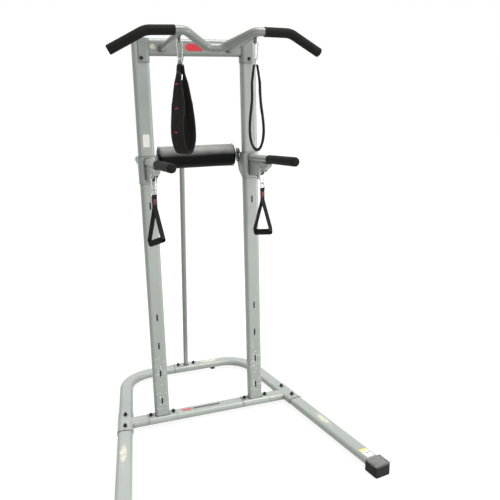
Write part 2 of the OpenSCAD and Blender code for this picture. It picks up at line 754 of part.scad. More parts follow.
// Window for the lock's nose through the front of a bracket or glide
module lock_window(wall) translate([-slot_w / 2 - 2, -shell - wall - 1, lock_slot_z - 26])
    cube([slot_w + 4, shell + wall + 2, 52]);

// Rolled edge round the foot of a bracket
module lower_lip() intersection() {
    translate([0, 0, bracket_z]) linear_extrude(7) difference() {
        translate([0, far / 2 - shell - plate - 2])
            oval(upright_w + 2 * (shell + plate + 2), far, tube_r + shell + plate + 2);
        translate([0, far / 2 - shell]) oval(upright_w + 2 * shell, far, tube_r + shell);
    }
    translate([-far / 2, -far + upright_d * 0.45, 0]) cube([far, far, far]);
}

// Thin plastic liner between a bracket and its upright
module glide_liner(side) color(black) tower() translate([side * upright_x, 0, 0]) difference() {
    translate([0, 0, bracket_z + 2]) linear_extrude(bracket_h - 4) intersection() {
        difference() {
            translate([0, far / 2 - run_gap - glide])
                oval(upright_w + 2 * (run_gap + glide), far, tube_r + run_gap + glide);
            translate([0, far / 2 - run_gap]) oval(upright_w + 2 * run_gap, far, tube_r + run_gap);
        }
        translate([-far / 2, -far + upright_d * 0.4]) square([far, far]);
    }
    lock_window(0);
}
module glide_left() glide_liner(-1);
module glide_right() glide_liner(1);

// Pins behind the uprights, with a button head inside and a nut outside
module guide_bolts() color(zinc) tower() for (side = [-1, 1]) sided(side)
    translate([upright_x, roller_y, roller_z]) rotate([0, 90, 0]) {
        translate([0, 0, -ear_out - 5]) dome_head(9, 5);
        translate([0, 0, -ear_out - eps]) cylinder(h = 2 * ear_out + 9, d = roller_pin_d);
        translate([0, 0, ear_out]) difference() {
            cylinder(h = 8, d = hex_d, $fn = 6);
            translate([0, 0, -1]) cylinder(h = 10, d = roller_pin_d + 2 * fit);
        }
    }

// Plastic roller that runs on the back of an upright
module guide_roller(side) color(black) tower() translate([side * upright_x, roller_y, roller_z])
    rotate([0, 90, 0]) difference() {
        cylinder(h = upright_w - 4, d = roller_d, center = true);
        cylinder(h = far, d = roller_pin_d + 0.1, center = true);
    }
module guide_roller_left() guide_roller(-1);
module guide_roller_right() guide_roller(1);

flange_t = 4;

// Tube between the two brackets with a bolted flange at each end
module roll_tube() color(frame_grey) tower() translate([0, roll_y, roll_z]) rotate([0, 90, 0])
    difference() {
        union() {
            cylinder(h = 2 * (flange_x - eps), d = roll_tube_d, center = true);
            for (side = [-1, 1]) translate([0, 0, side * (flange_x - flange_t / 2)])
                linear_extrude(flange_t, center = true) oval(flange_h, flange_w, 12);
        }
        cylinder(h = 2 * (flange_x - flange_t), d = roll_tube_d - 2 * tube_wall, center = true);
        for (x = [-1, 1]) translate([x * flange_bolt, 0, 0]) cylinder(h = far, d = 9, center = true);
    }

// Screws that hold the flanges on the ears
module roll_bolts() color(zinc) tower() for (side = [-1, 1], z = [-1, 1]) sided(side)
    translate([flange_x - flange_t, roll_y, roll_z + z * flange_bolt]) rotate([0, 90, 0]) {
        translate([0, 0, -5]) dome_head(7, 5);
        translate([0, 0, -eps]) cylinder(h = flange_t + plate + 8, d = 8);
        translate([0, 0, flange_t + plate]) difference() {
            cylinder(h = 5, d = 13 / cos(30), $fn = 6);
            translate([0, 0, -1]) cylinder(h = 7, d = 8 + 2 * fit);
        }
    }

// Round padded roll on the tube
module back_roll() color(black) tower() translate([0, roll_y, roll_z]) rotate([0, 90, 0])
    rotate_extrude() difference() {
        translate([roll_d / 4, 0]) oval(roll_d / 2, roll_l, roll_edge);
        translate([-1, -roll_l / 2 - 1]) square([roll_edge + 1, roll_l + 2]);
        translate([-1, -roll_l / 2 - 1]) square([roll_tube_d / 2 + fit + 1, roll_l + 2]);
    }

// Handle tube, butted against the front of its bracket
module dip_handle(side) color(frame_grey) tower() translate([side * upright_x, 0, 0]) difference() {
    aim(handle_start - 5 * handle_dir, handle_dir) difference() {
        cylinder(h = handle_reach - 15, d = handle_d);
        cylinder(h = far, d = handle_d - 2 * tube_wall);
    }
    translate([-100, -shell - plate, handle_z - 100]) cube([200, 200, 200]);
}
module dip_handle_left() dip_handle(-1);
module dip_handle_right() dip_handle(1);

// Grip on a handle, with a closed round end
module dip_grip(side) color(rubber_grey) tower() translate([side * upright_x, 0, 0])
    aim(handle_start + (handle_reach - handle_grip_l) * handle_dir, handle_dir) difference() {
        union() {
            cylinder(h = handle_grip_l - 14, d = handle_grip_d);
            translate([0, 0, handle_grip_l - 14]) dome(handle_grip_d / 2, 10);
        }
        translate([0, 0, -1]) cylinder(h = handle_grip_l - 17, d = handle_d + 2 * fit);
    }
module dip_grip_left() dip_grip(-1);
module dip_grip_right() dip_grip(1);

// ---------------------------------------------------------------- locks

// Pivot pins across the gussets
module lock_pins() color(zinc) tower() for (side = [-1, 1])
    translate([side * upright_x, lock_pivot.x, lock_pivot.y]) rotate([0, 90, 0]) {
        cylinder(h = gusset_gap + 2 * plate + 2, d = lock_pin_d, center = true);
        for (z = [-1, 1]) translate([0, 0, z * (gusset_gap / 2 + plate + 2.3)])
            cylinder(h = 4, d = lock_pin_d + 4, center = true);
        for (z = [-1, 1]) translate([0, 0, z * (gusset_gap / 4 + lock_t / 4)])
            cylinder(h = gusset_gap / 2 - lock_t / 2 - 0.6, d = lock_pin_d + 6, center = true);
    }

nose_tip = -lock_pivot.x - 1;               // the nose rests just in front of the upright

// Lock plate: a nose for the slot, and a finger trigger below the gusset
module lock(side) color(black) tower() translate([side * upright_x, lock_pivot.x, lock_pivot.y])
    rotate([90, 0, 90]) {
        linear_extrude(lock_t, center = true) difference() {
            union() {
                circle(9);
                polygon([[-9, 0], [9, 0], [9, -28], [nose_tip, -30], [nose_tip, -44], [4, -46], [-14, -56],
                         [-92, -64], [-92, -54], [-30, -46], [-12, -36]]);
            }
            circle(d = lock_pin_d + 0.1);
        }
        translate([-96, -76]) rotate([-90, 0, 0]) cylinder(h = 24, d = 13);
    }
module lock_left() lock(-1);
module lock_right() lock(1);

// ---------------------------------------------------------------- spring hooks

// Places its children at the top bow of a hook: slings on the eyes, grips on the gussets
module at_sling_hook(side) tower() translate([side * arm_x, eye_y, sling_hook_z]) children();
module at_hand_hook(side) tower()
    translate([side * upright_x - (gusset_gap + plate) / 2, hook_hole_y, hand_hook_z])
        rotate([0, 0, hand_hook_turn]) children();

// Middle points of the hook's wire: big bow above, small bow below, in the XZ plane
big_mid = -hook_big_r;
small_mid = -hook_drop + hook_small_r;
lean = asin((hook_big_r - hook_small_r) / (big_mid - small_mid));
gate_top = [hook_big_r * cos(lean), 0, big_mid - hook_big_r * sin(lean)];
gate_foot = [hook_small_r * cos(lean), 0, small_mid - hook_small_r * sin(lean)];
gate_dir = unit(gate_top - gate_foot);
gate_pivot = gate_foot + 9 * gate_dir;
gate_d = hook_wire - 1;

// Bent wire of a hook, open on one side for its gate
module hook_body() color(zinc) difference() {
    union() {
        translate([0, 0, big_mid]) rotate([90, 0, 0]) rotate([0, 0, -lean])
            rotate_extrude(angle = 180 + 2 * lean) translate([hook_big_r, 0])
                circle(r = hook_wire / 2 + proud);
        translate([0, 0, small_mid]) rotate([90, 0, 0]) rotate([0, 0, 180 + lean])
            rotate_extrude(angle = 180 - 2 * lean) translate([hook_small_r, 0])
                circle(r = hook_wire / 2 + proud);
        mirror([1, 0, 0]) rod(gate_foot - lap * gate_dir, gate_top + lap * gate_dir, hook_wire / 2);
        rod(gate_foot - lap * gate_dir, gate_pivot + 3 * gate_dir, hook_wire / 2);
    }
    // Fork for the gate's hinge
    aim(gate_pivot - 4.5 * gate_dir, gate_dir) translate([-hook_wire, -1.3, 0])
        cube([2 * hook_wire, 2.6, 20]);
    translate(gate_pivot) rotate([90, 0, 0]) cylinder(h = 20, d = 2.2, center = true);
}

// Straight gate with a tongue in the hook's fork and its cross pin
module hook_gate() color(zinc) {
    difference() {
        union() {
            rod(gate_pivot + 4.2 * gate_dir, gate_top - 0.6 * gate_dir, gate_d / 2);
            aim(gate_pivot - 2.5 * gate_dir, gate_dir) translate([-2.4, -1, 0]) cube([4.8, 2, 9]);
        }
    }
    translate(gate_pivot) rotate([90, 0, 0]) cylinder(h = hook_wire - 0.4, d = 2, center = true);
}

ring_peak = 11;         // from the ring's top to where its two legs would meet

// Triangular ring with its flat bar below, hung on a hook's small bow
module delta_ring() color(zinc) {
    half = ring_w / 2 - ring_wire / 2;
    tall = ring_h - ring_wire;
    top_r = ring_peak / (1 / sin(atan2(half, tall + ring_peak)) - 1);
    peak = [0, 0, ring_peak];
    left = [0, -half, -tall];
    right = [0, half, -tall];
    mid_bar = [0, 0, -tall];
    bent_rod([mid_bar, left, peak, right, mid_bar], [0, 4, top_r, 4, 0], ring_wire / 2);
}

module sling_hook_left() at_sling_hook(-1) hook_body();
module sling_hook_right() at_sling_hook(1) hook_body();
module sling_gate_left() at_sling_hook(-1) hook_gate();
module sling_gate_right() at_sling_hook(1) hook_gate();
module hand_hook_left() at_hand_hook(-1) hook_body();
module hand_hook_right() at_hand_hook(1) hook_body();
module hand_gate_left() at_hand_hook(-1) hook_gate();
module hand_gate_right() at_hand_hook(1) hook_gate();

module at_ring(turn) translate([0, 0, -ring_down]) rotate([0, 0, turn]) children();
module sling_ring_left() at_sling_hook(-1) at_ring(sling_turn[0]) delta_ring();
module sling_ring_right() at_sling_hook(1) at_ring(sling_turn[1]) delta_ring();
module hand_ring_left() at_hand_hook(-1) at_ring(hand_strap_turn) delta_ring();
module hand_ring_right() at_hand_hook(1) at_ring(hand_strap_turn) delta_ring();

// ---------------------------------------------------------------- arm slings

sling_belly = 98;                           // height of the widest part above the bottom
sling_neck = 50;                            // outer width of the loop in its upper half
sling_neck_z = -78;                         // where the loop starts to close towards the ring
sling_top_half = 14;                        // half the loop's width at the ring
sling_steps = 10;
ring_hole_r = ring_wire / 2 + fit;

// Half the loop's width, from its widest part (0) to its straight upper half (1)
function sling_half(s) = (sling_neck + (sling_open - sling_neck) * (1 + cos(180 * s)) / 2) / 2;

// One side of the loop, from the bottom to the neck, drawn in by inset
function sling_edge(inset) = concat(
    [for (i = [0:sling_steps - 1]) let (a = 90 * i / sling_steps)
        [(sling_open / 2 - inset) * sin(a), -sling_l + sling_belly - (sling_belly - inset) * cos(a)]],
    [for (i = [0:sling_steps]) let (s = i / sling_steps)
        [sling_half(s) - inset, -sling_l + sling_belly + (sling_l - sling_belly) * s * 0.6]],
    [[sling_neck / 2 - inset, sling_neck_z]]);

// The loop drawn in by inset, with its top half wide and rounded by r
module sling_outline(inset, half, r) {
    edge = sling_edge(inset);
    polygon(concat(edge, [[half, 0], [-half, 0]],
                   [for (i = [len(edge) - 1:-1:1]) [-edge[i].x, edge[i].y]]));
    for (x = [-1, 1]) translate([x * (half - r), 0]) circle(r);
    if (half > r) translate([-half + r, 0]) square([2 * (half - r), r]);
}

// Padded band: a loop in one view, a band that narrows to its ring in the other
module sling_band() color(black) intersection() {
    rotate([90, 0, 0]) linear_extrude(sling_w, center = true) difference() {
        sling_outline(0, sling_top_half, 6.5);
        sling_outline(sling_t, ring_hole_r, ring_hole_r);
    }
    rotate([90, 0, 90]) linear_extrude(far, center = true) polygon([
        for (side = [1, -1], i = [0:4]) let (k = side > 0 ? i : 4 - i)
            [side * [sling_w / 2, sling_w / 2, sling_w * 0.36, sling_top_w / 2, sling_top_w / 2][k],
             [-sling_l - 5, -165, -110, -34, 20][k]]]);
}

// Slide buckle that lies on the inner face of the loop's left strand
module sling_buckle() color(zinc) {
    z = -52;
    inner = ring_hole_r + (sling_neck / 2 - sling_t - ring_hole_r) * z / sling_neck_z;
    slope = atan((sling_neck / 2 - sling_t - ring_hole_r) / sling_neck_z);
    translate([-inner + fit + 1.6, 0, z]) rotate([0, -slope, 0]) difference() {
        cube([3, sling_top_w + 14, 24], center = true);
        for (side = [-1, 1]) translate([0, 0, side * 6])
            cube([10, sling_top_w + 4, 7], center = true);
    }
}

module at_strap(turn) translate([0, 0, -strap_down]) rotate([0, 0, turn]) children();
module sling_left() at_sling_hook(-1) at_strap(sling_turn[0]) sling_band();
module sling_right() at_sling_hook(1) at_strap(sling_turn[1]) sling_band();
module sling_buckle_left() at_sling_hook(-1) at_strap(sling_turn[0]) sling_buckle();
module sling_buckle_right() at_sling_hook(1) at_strap(sling_turn[1]) sling_buckle();

// ---------------------------------------------------------------- hand grips

stem_l = 58;                                // part of the strap where both legs are sewn together
hand_bore = 23;                             // bore of a hand grip, which the strap runs through
run_w = hand_bore - 3;                      // width of the strap where it is folded inside the grip
reach = hand_l / 2 + fit + strap_t / 2;     // from the middle of a hand grip to the strap beside it

// A point beside the tilted hand grip: x along it and h above its axis
function by_hand(x, h, tilt) = [x * cos(tilt) - h * sin(tilt), -strap_l + x * sin(tilt) + h * cos(tilt)];

// A closed outline moved outwards by d, its points in clockwise order
function grown(p, d) = [for (i = [0:len(p) - 1])
    let (a = unit(p[i] - p[(i + len(p) - 1) % len(p)]), b = unit(p[(i + 1) % len(p)] - p[i]),
         m = [-a.y, a.x], n = [-b.y, b.x]) p[i] + d * (m + n) / (1 + m * n)];

// The point of the line from p to q at a given x
function at_x(p, q, x) = p + (q - p) * (x - p.x) / (q.x - p.x);

// Webbing loop: a sewn stem below its ring, two legs, and the run through the hand grip
module hand_strap(tilt) color(black) rotate([90, 0, 0]) difference() {
    clear = hand_d / 2 + 4;
    loop = [[0, -stem_l], by_hand(reach, clear, tilt), by_hand(reach, 0, tilt),
            by_hand(-reach, 0, tilt), by_hand(-reach, clear, tilt)];
    edge = grown(loop, strap_t / 2);
    union() {
        cylinder(h = strap_w, r = ring_hole_r + strap_t, center = true);
        linear_extrude(strap_w, center = true)
            polygon(concat([[-strap_t, -1], [strap_t, -1], at_x(edge[0], edge[1], strap_t)],
                           [for (i = [1:4]) edge[i]], [at_x(edge[0], edge[4], -strap_t)]));
    }
    cylinder(h = far, r = ring_hole_r, center = true);
    linear_extrude(far, center = true) polygon(grown(loop, -strap_t / 2));
    translate([0, -strap_l]) rotate([0, 0, tilt]) for (y = [-1, 1]) translate([0, 0, y * (run_w + far) / 2])
        cube([hand_l + 4 * fit, hand_d, far], center = true);
}

// Hollow handle that turns on the strap
module hand_tube(tilt) color(rubber_grey) translate([0, 0, -strap_l]) rotate([0, 90 - tilt, 0])
    difference() {
        cylinder(h = hand_l, d = hand_d, center = true);
        cylinder(h = far, d = hand_bore, center = true);
    }

module hand_strap_left() at_hand_hook(-1) at_strap(hand_strap_turn) hand_strap(hand_tilt[0]);
module hand_strap_right() at_hand_hook(1) at_strap(hand_strap_turn) hand_strap(hand_tilt[1]);
module hand_tube_left() at_hand_hook(-1) at_strap(hand_strap_turn) hand_tube(hand_tilt[0]);
module hand_tube_right() at_hand_hook(1) at_strap(hand_strap_turn) hand_tube(hand_tilt[1]);

rear_u_tube();
leg_left();
leg_right();
cross_member();
upright_left();
upright_right();
rear_brace();
top_crossbeam();
pull_up_bar();
foot_cap_left();
foot_cap_right();
rear_foot_left();
rear_foot_right();
upright_plug_left();
upright_plug_right();
pull_up_grip_left();
pull_up_grip_right();
base_bolts();
base_washers();
base_nuts();
crossbeam_bolts();
carriage_bracket_left();
carriage_bracket_right();
glide_left();
glide_right();
guide_bolts();
guide_roller_left();
guide_roller_right();
roll_tube();
roll_bolts();
back_roll();
dip_handle_left();
dip_handle_right();
dip_grip_left();
dip_grip_right();
lock_pins();
lock_left();
lock_right();
sling_hook_left();
sling_hook_right();
sling_gate_left();
sling_gate_right();
sling_ring_left();
sling_ring_right();
sling_left();
sling_right();
sling_buckle_left();
sling_buckle_right();
hand_hook_left();
hand_hook_right();
hand_gate_left();
hand_gate_right();
hand_ring_left();
hand_ring_right();
hand_strap_left();
hand_strap_right();
hand_tube_left();
hand_tube_right();
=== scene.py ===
"""Looks of the power tower: materials, slings and straps, the padded roll, labels, light, camera.

Lengths are in metres. X runs left to right, Y front to back and Z up from the floor."""

import json
import math

import bpy
from mathutils import Matrix, Vector, noise


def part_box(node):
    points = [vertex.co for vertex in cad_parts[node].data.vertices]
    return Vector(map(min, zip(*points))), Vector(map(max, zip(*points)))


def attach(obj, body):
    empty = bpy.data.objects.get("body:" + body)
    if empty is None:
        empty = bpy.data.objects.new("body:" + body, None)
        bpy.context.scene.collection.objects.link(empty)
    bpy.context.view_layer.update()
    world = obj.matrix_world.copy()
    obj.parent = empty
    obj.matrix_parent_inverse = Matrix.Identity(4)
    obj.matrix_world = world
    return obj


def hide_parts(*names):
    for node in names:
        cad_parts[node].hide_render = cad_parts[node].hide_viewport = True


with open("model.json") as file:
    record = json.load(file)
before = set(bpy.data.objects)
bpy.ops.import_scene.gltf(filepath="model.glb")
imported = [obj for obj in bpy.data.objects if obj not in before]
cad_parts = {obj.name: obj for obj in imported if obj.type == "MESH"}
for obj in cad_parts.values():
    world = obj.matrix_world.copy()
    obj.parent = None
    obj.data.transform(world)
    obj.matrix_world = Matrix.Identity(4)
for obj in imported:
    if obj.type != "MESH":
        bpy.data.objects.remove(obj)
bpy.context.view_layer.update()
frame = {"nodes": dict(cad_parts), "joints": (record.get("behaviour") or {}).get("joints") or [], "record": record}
NODES = frame["nodes"]
JOINTS = {joint["name"]: joint for joint in frame["joints"]}
SLOTS = {s["node"]: s["material_slot"] for s in frame["record"]["subparts"]}
SIDES = ("left", "right")


# ---------------------------------------------------------------- materials

# Sockets of the Mix node that hold colours
MIX_UNDER, MIX_OVER, MIX_RESULT = 6, 7, 2


class Nodes:
    """Adds nodes to a tree and links them: an input is a socket to link or a value to set."""

    def __init__(self, tree):
        self.tree = tree

    def add(self, kind, inputs=None, **settings):
        node = self.tree.nodes.new(kind)
        for key, value in settings.items():
            setattr(node, key, value)
        for key, value in (inputs or {}).items():
            if isinstance(value, bpy.types.NodeSocket):
                self.tree.links.new(value, node.inputs[key])
            else:
                node.inputs[key].default_value = value
        return node

    def math(self, operation, a, b=0.0):
        return self.add("ShaderNodeMath", {0: a, 1: b}, operation=operation).outputs[0]

    def ramp(self, value, low, high, to_low=0.0, to_high=1.0):
        return self.add("ShaderNodeMapRange", {
            "Value": value, "From Min": low, "From Max": high,
            "To Min": to_low, "To Max": to_high}).outputs["Result"]

    def seen(self):
        """1 for rays from the camera and for mirrored or refracted rays, else 0."""
        rays = self.add("ShaderNodeLightPath").outputs
        bounced = self.math("MAXIMUM", rays["Is Glossy Ray"], rays["Is Transmission Ray"])
        return self.math("MAXIMUM", rays["Is Camera Ray"], bounced)


class Shader(Nodes):
    """A Principled material that is built node by node, on the part's own coordinates."""

    def __init__(self, name, color, roughness, metallic=0.0, **sockets):
        self.material = bpy.data.materials.new(name)
        self.material.use_nodes = True
        super().__init__(self.material.node_tree)
        self.principled = self.tree.nodes["Principled BSDF"]
        self.color = (*color, 1.0)
        self.set("Base Color", self.color)
        self.set("Roughness", roughness)
        self.set("Metallic", metallic)
        for socket, value in sockets.items():
            self.set(socket.replace("_", " "), value)
        self.place = self.add("ShaderNodeTexCoord").outputs["Object"]
        self.normal = None

    def set(self, socket, value):
        self.principled.inputs[socket].default_value = value

    def noise(self, scale, detail=3.0, rough=0.5):
        return self.add("ShaderNodeTexNoise", {
            "Vector": self.place, "Scale": scale, "Detail": detail,
            "Roughness": rough}).outputs["Fac"]

    def facing(self, axis):
        """The surface normal's share along one axis."""
        normal = self.add("ShaderNodeNewGeometry").outputs["Normal"]
        return self.add("ShaderNodeSeparateXYZ", {0: normal}).outputs[axis]

    def tint(self, factor, color):
        """Lays a colour over what the base colour has been so far."""
        before = self.principled.inputs["Base Color"]
        under = before.links[0].from_socket if before.links else self.color
        colors = {"Factor": factor, MIX_UNDER: under, MIX_OVER: (*color, 1.0)}
        mix = self.add("ShaderNodeMix", colors, data_type="RGBA")
        self.tree.links.new(mix.outputs[MIX_RESULT], before)

    def rough(self, factor, low, high):
        roughness = self.ramp(factor, 0.0, 1.0, low, high)
        self.tree.links.new(roughness, self.principled.inputs["Roughness"])

    def bump(self, height, distance, strength=1.0):
        inputs = {"Height": height, "Distance": distance, "Strength": strength}
        if self.normal is not None:
            inputs["Normal"] = self.normal
        self.normal = self.add("ShaderNodeBump", inputs).outputs["Normal"]
        self.tree.links.new(self.normal, self.principled.inputs["Normal"])

    def soft_edges(self, radius):
        """Rounds sharp edges in the shading, as the paint does."""
        self.normal = self.add("ShaderNodeBevel", {"Radius": radius}, samples=6).outputs["Normal"]
        self.tree.links.new(self.normal, self.principled.inputs["Normal"])

    def patch(self, centre, radii, turn=0.0):
        """1 inside an ellipse at centre, falling to 0 at its ragged rim."""
        def vector(operation, inputs):
            return self.add("ShaderNodeVectorMath", inputs, operation=operation).outputs

        moved = vector("SUBTRACT", {0: self.place, 1: centre})[0]
        turned = self.add("ShaderNodeVectorRotate", {"Vector": moved, "Angle": -turn},
                          rotation_type="Z_AXIS").outputs[0]
        scaled = vector("DIVIDE", {0: turned, 1: radii})[0]
        length = vector("LENGTH", {0: scaled})["Value"]
        rim = self.ramp(self.noise(60, 4), 0.3, 0.7, -0.35, 0.35)
        return self.ramp(self.math("ADD", length, rim), 1.05, 0.7)


PAINT = (0.322, 0.354, 0.320)
# Pale cream of the patches: worn paint, partly a painted sheen of light off the tops
PAINT_WORN_SHEEN = (0.66, 0.64, 0.49)
PAINT_CHIP = (0.98, 0.99, 0.98)
PAINT_FLECK = (0.75, 0.78, 0.75)
# Colour of the painted shade laid into seams and corners
SEAM_SHADE_PAINTED = (0.04, 0.042, 0.038)
SEAM_INSET = 0.003      # from a band's bound edge to its stitches
STITCH_PITCH = 0.0042


def shaded(color, share):
    return tuple(share * c for c in color)


def chip_dots(s, low, high):
    """1 in scattered dots on the front faces, between the heights low and high."""
    part = s.add("ShaderNodeSeparateXYZ", {0: s.place})
    z = part.outputs["Z"]
    flat = s.add("ShaderNodeCombineXYZ", {0: part.outputs["X"], 1: z}).outputs[0]
    cells = s.add("ShaderNodeTexVoronoi", {"Vector": flat, "Scale": 62.0},
                  voronoi_dimensions="2D").outputs
    ragged = s.math("ADD", cells["Distance"], s.ramp(s.noise(380, 2), 0.3, 0.7, -0.04, 0.04))
    dots = s.ramp(ragged, 0.17, 0.12)
    pick = s.add("ShaderNodeSeparateColor", {0: cells["Color"]}).outputs[0]
    some = s.ramp(pick, 0.66, 0.68)
    front = s.ramp(s.facing("Y"), -0.7, -0.9)
    fade = 0.02
    band = s.math("MULTIPLY", s.ramp(z, low - fade, low + fade),
                  s.ramp(z, high + fade, high - fade))
    return s.math("MULTIPLY", s.math("MULTIPLY", dots, some), s.math("MULTIPLY", band, front))


def paint(name, patches=(), chips=None, shade=1.0):
    """Silver-grey powder coat: fine orange peel, faint marbling, painted shade in the seams.

    patches are ellipses of worn paint with a painted sheen, chips is a span of heights with bare dots,
    and a shade under 1 is painted shade that darkens the paint above the base."""
    s = Shader(name, PAINT, 0.40, 0.15, Coat_Weight=0.20, Coat_Roughness=0.20)
    s.soft_edges(0.0009)
    s.bump(s.noise(620, 2), 0.00012, 0.45)
    broad = s.noise(5.5, 4, 0.6)
    # Painted shade: the upper tubes darker than the base, as less light reaches them
    if shade < 1.0:
        height = s.add("ShaderNodeSeparateXYZ", {0: s.place}).outputs["Z"]
        s.tint(s.ramp(height, 0.10, 0.30), shaded(PAINT, shade))
    s.tint(s.ramp(broad, 0.35, 0.75, 0.0, 0.30), shaded(PAINT, 0.78 * shade))
    s.tint(s.ramp(s.noise(1500, 1), 0.62, 0.80, 0.0, 0.16), PAINT_FLECK)
    s.rough(s.noise(14, 5, 0.6), 0.34, 0.50)
    # Painted shade: darker where the ambient occlusion finds seams and corners
    corner = s.add("ShaderNodeAmbientOcclusion", {"Distance": 0.013}, samples=8).outputs["AO"]
    s.tint(s.ramp(corner, 0.93, 0.55, 0.0, 0.90), SEAM_SHADE_PAINTED)
    # Patches of worn paint, partly painted sheen where light glances off the tops
    for patch in patches:
        worn = s.ramp(s.noise(35, 5), 0.3, 0.6, 0.40, 0.85)
        s.tint(s.math("MULTIPLY", s.patch(*patch), worn), PAINT_WORN_SHEEN)
    if chips:
        s.tint(chip_dots(s, *chips), PAINT_CHIP)
    return s.material


def zinc():
    s = Shader("zinc_plate", (0.46, 0.47, 0.44), 0.24, 1.0)
    s.rough(s.noise(220, 4), 0.16, 0.40)
    s.tint(s.ramp(s.noise(60, 3), 0.45, 0.8, 0.0, 0.35), (0.50, 0.49, 0.42))
    s.bump(s.noise(900, 2), 0.00005, 0.4)
    return s.material


def black_steel():
    s = Shader("black_oxide_steel", (0.018, 0.018, 0.018), 0.36, 0.7)
    s.soft_edges(0.0006)
    s.rough(s.noise(260, 4), 0.26, 0.48)
    s.tint(s.ramp(s.noise(400, 3), 0.62, 0.80, 0.0, 0.25), (0.16, 0.15, 0.13))
    return s.material


def foam_rubber():
    """Closed foam of the grips: fine pores and a faint bloom."""
    s = Shader("foam_rubber", (0.009, 0.0097, 0.0088), 0.66,
               Specular_IOR_Level=0.1, Sheen_Weight=0.01, Sheen_Roughness=0.5)
    pores = s.add("ShaderNodeTexVoronoi", {"Vector": s.place, "Scale": 1500.0})
    s.bump(s.noise(260, 3, 0.6), 0.00045, 0.5)
    s.bump(pores.outputs["Distance"], 0.00012, 0.6)
    s.tint(s.ramp(s.noise(18, 5, 0.65), 0.40, 0.75, 0.0, 0.35), (0.022, 0.023, 0.021))
    s.rough(s.noise(40, 4), 0.62, 0.82)
    return s.material


def cap_rubber():
    """Moulded rubber, lighter on its upper side."""
    s = Shader("cap_rubber", (0.015, 0.015, 0.014), 0.78, Specular_IOR_Level=0.22)
    s.soft_edges(0.0015)
    s.bump(s.noise(420, 3), 0.0003, 0.5)
    up = s.ramp(s.facing("Z"), 0.2, 0.9)
    top_tint = s.ramp(s.noise(30, 6, 0.7), 0.25, 0.75, 0.25, 0.8)
    s.tint(s.math("MULTIPLY", up, top_tint), (0.33, 0.33, 0.31))
    return s.material


def black_plastic():
    s = Shader("black_nylon", (0.020, 0.020, 0.021), 0.5)
    s.bump(s.noise(500, 2), 0.0001, 0.4)
    s.rough(s.noise(60, 4), 0.42, 0.58)
    return s.material


def vinyl():
    """Grained vinyl of the back roll, with painted light on its upper side."""
    s = Shader("roll_vinyl", (0.004, 0.0045, 0.004), 0.42, Specular_IOR_Level=0.06)
    grain = s.add("ShaderNodeTexVoronoi", {"Vector": s.place, "Scale": 520.0},
                  feature="SMOOTH_F1").outputs["Distance"]
    s.bump(grain, 0.00035, 0.55)
    s.bump(s.noise(45, 4), 0.0012, 0.25)
    s.tint(s.ramp(s.noise(24, 5, 0.6), 0.45, 0.8, 0.0, 0.4), (0.010, 0.011, 0.010))
    # Painted highlight: the upper side lighter, where the light from above falls
    up = s.ramp(s.facing("Z"), 0.08, 0.72)
    top_tint = s.ramp(s.noise(12, 5, 0.6), 0.25, 0.75, 0.6, 1.0)
    s.tint(s.math("MULTIPLY", up, top_tint), (0.340, 0.345, 0.325))
    s.rough(s.noise(90, 4), 0.38, 0.58)
    return s.material


def weave(name, color, across, thread, light):
    """Woven nylon in UV metres: crossing threads a thread apart, worn pile in the light colour,
    a bound edge from |v| = across and its stitches."""
    s = Shader(name, color, 0.80, Specular_IOR_Level=0.15, Sheen_Weight=0.03, Sheen_Roughness=0.4)
    uv = s.add("ShaderNodeTexCoord").outputs["UV"]
    part = s.add("ShaderNodeSeparateXYZ", {0: uv})
    u, v = part.outputs["X"], part.outputs["Y"]

    def ribs(along):
        wave = s.math("SINE", s.math("MULTIPLY", along, math.pi / thread))
        return s.math("ABSOLUTE", wave)

    cloth = s.math("MULTIPLY", ribs(u), ribs(v))
    s.bump(cloth, 0.0004, 0.7)
    s.tint(s.ramp(cloth, 0.2, 0.9, 0.0, 0.5), light)
    s.tint(s.ramp(s.noise(70, 5, 0.6), 0.42, 0.78, 0.0, 0.30), light)
    side = s.math("ABSOLUTE", v)
    bound = s.ramp(side, across - 0.0004, across + 0.0004)
    s.tint(s.math("MULTIPLY", bound, 0.55), (0.022, 0.021, 0.021))
    off_seam = s.math("ABSOLUTE", s.math("SUBTRACT", side, across - SEAM_INSET))
    seam = s.ramp(off_seam, 0.0008, 0.0003)
    wave = s.math("SINE", s.math("MULTIPLY", u, 2 * math.pi / STITCH_PITCH))
    stitches = s.math("MULTIPLY", seam, s.ramp(wave, -0.3, 0.1))
    s.tint(s.math("MULTIPLY", stitches, 0.8), (0.06, 0.055, 0.052))
    s.bump(stitches, 0.0008, 0.8)
    return s.material


def thread_material(name, color):
    s = Shader(name, color, 0.6, 0.0, Sheen_Weight=0.3)
    s.bump(s.noise(2500, 2), 0.0001, 0.6)
    s.tint(s.ramp(s.noise(300, 3), 0.4, 0.7, 0.0, 0.4), shaded(color, 0.5))
    return s.material


def sticker_material(name, color):
    s = Shader(name, color, 0.38)
    s.tint(s.ramp(s.noise(120, 5, 0.7), 0.48, 0.80, 0.0, 0.35), shaded(color, 0.72))
    s.bump(s.noise(200, 3), 0.00008, 0.3)
    s.rough(s.noise(80, 3), 0.30, 0.50)
    return s.material


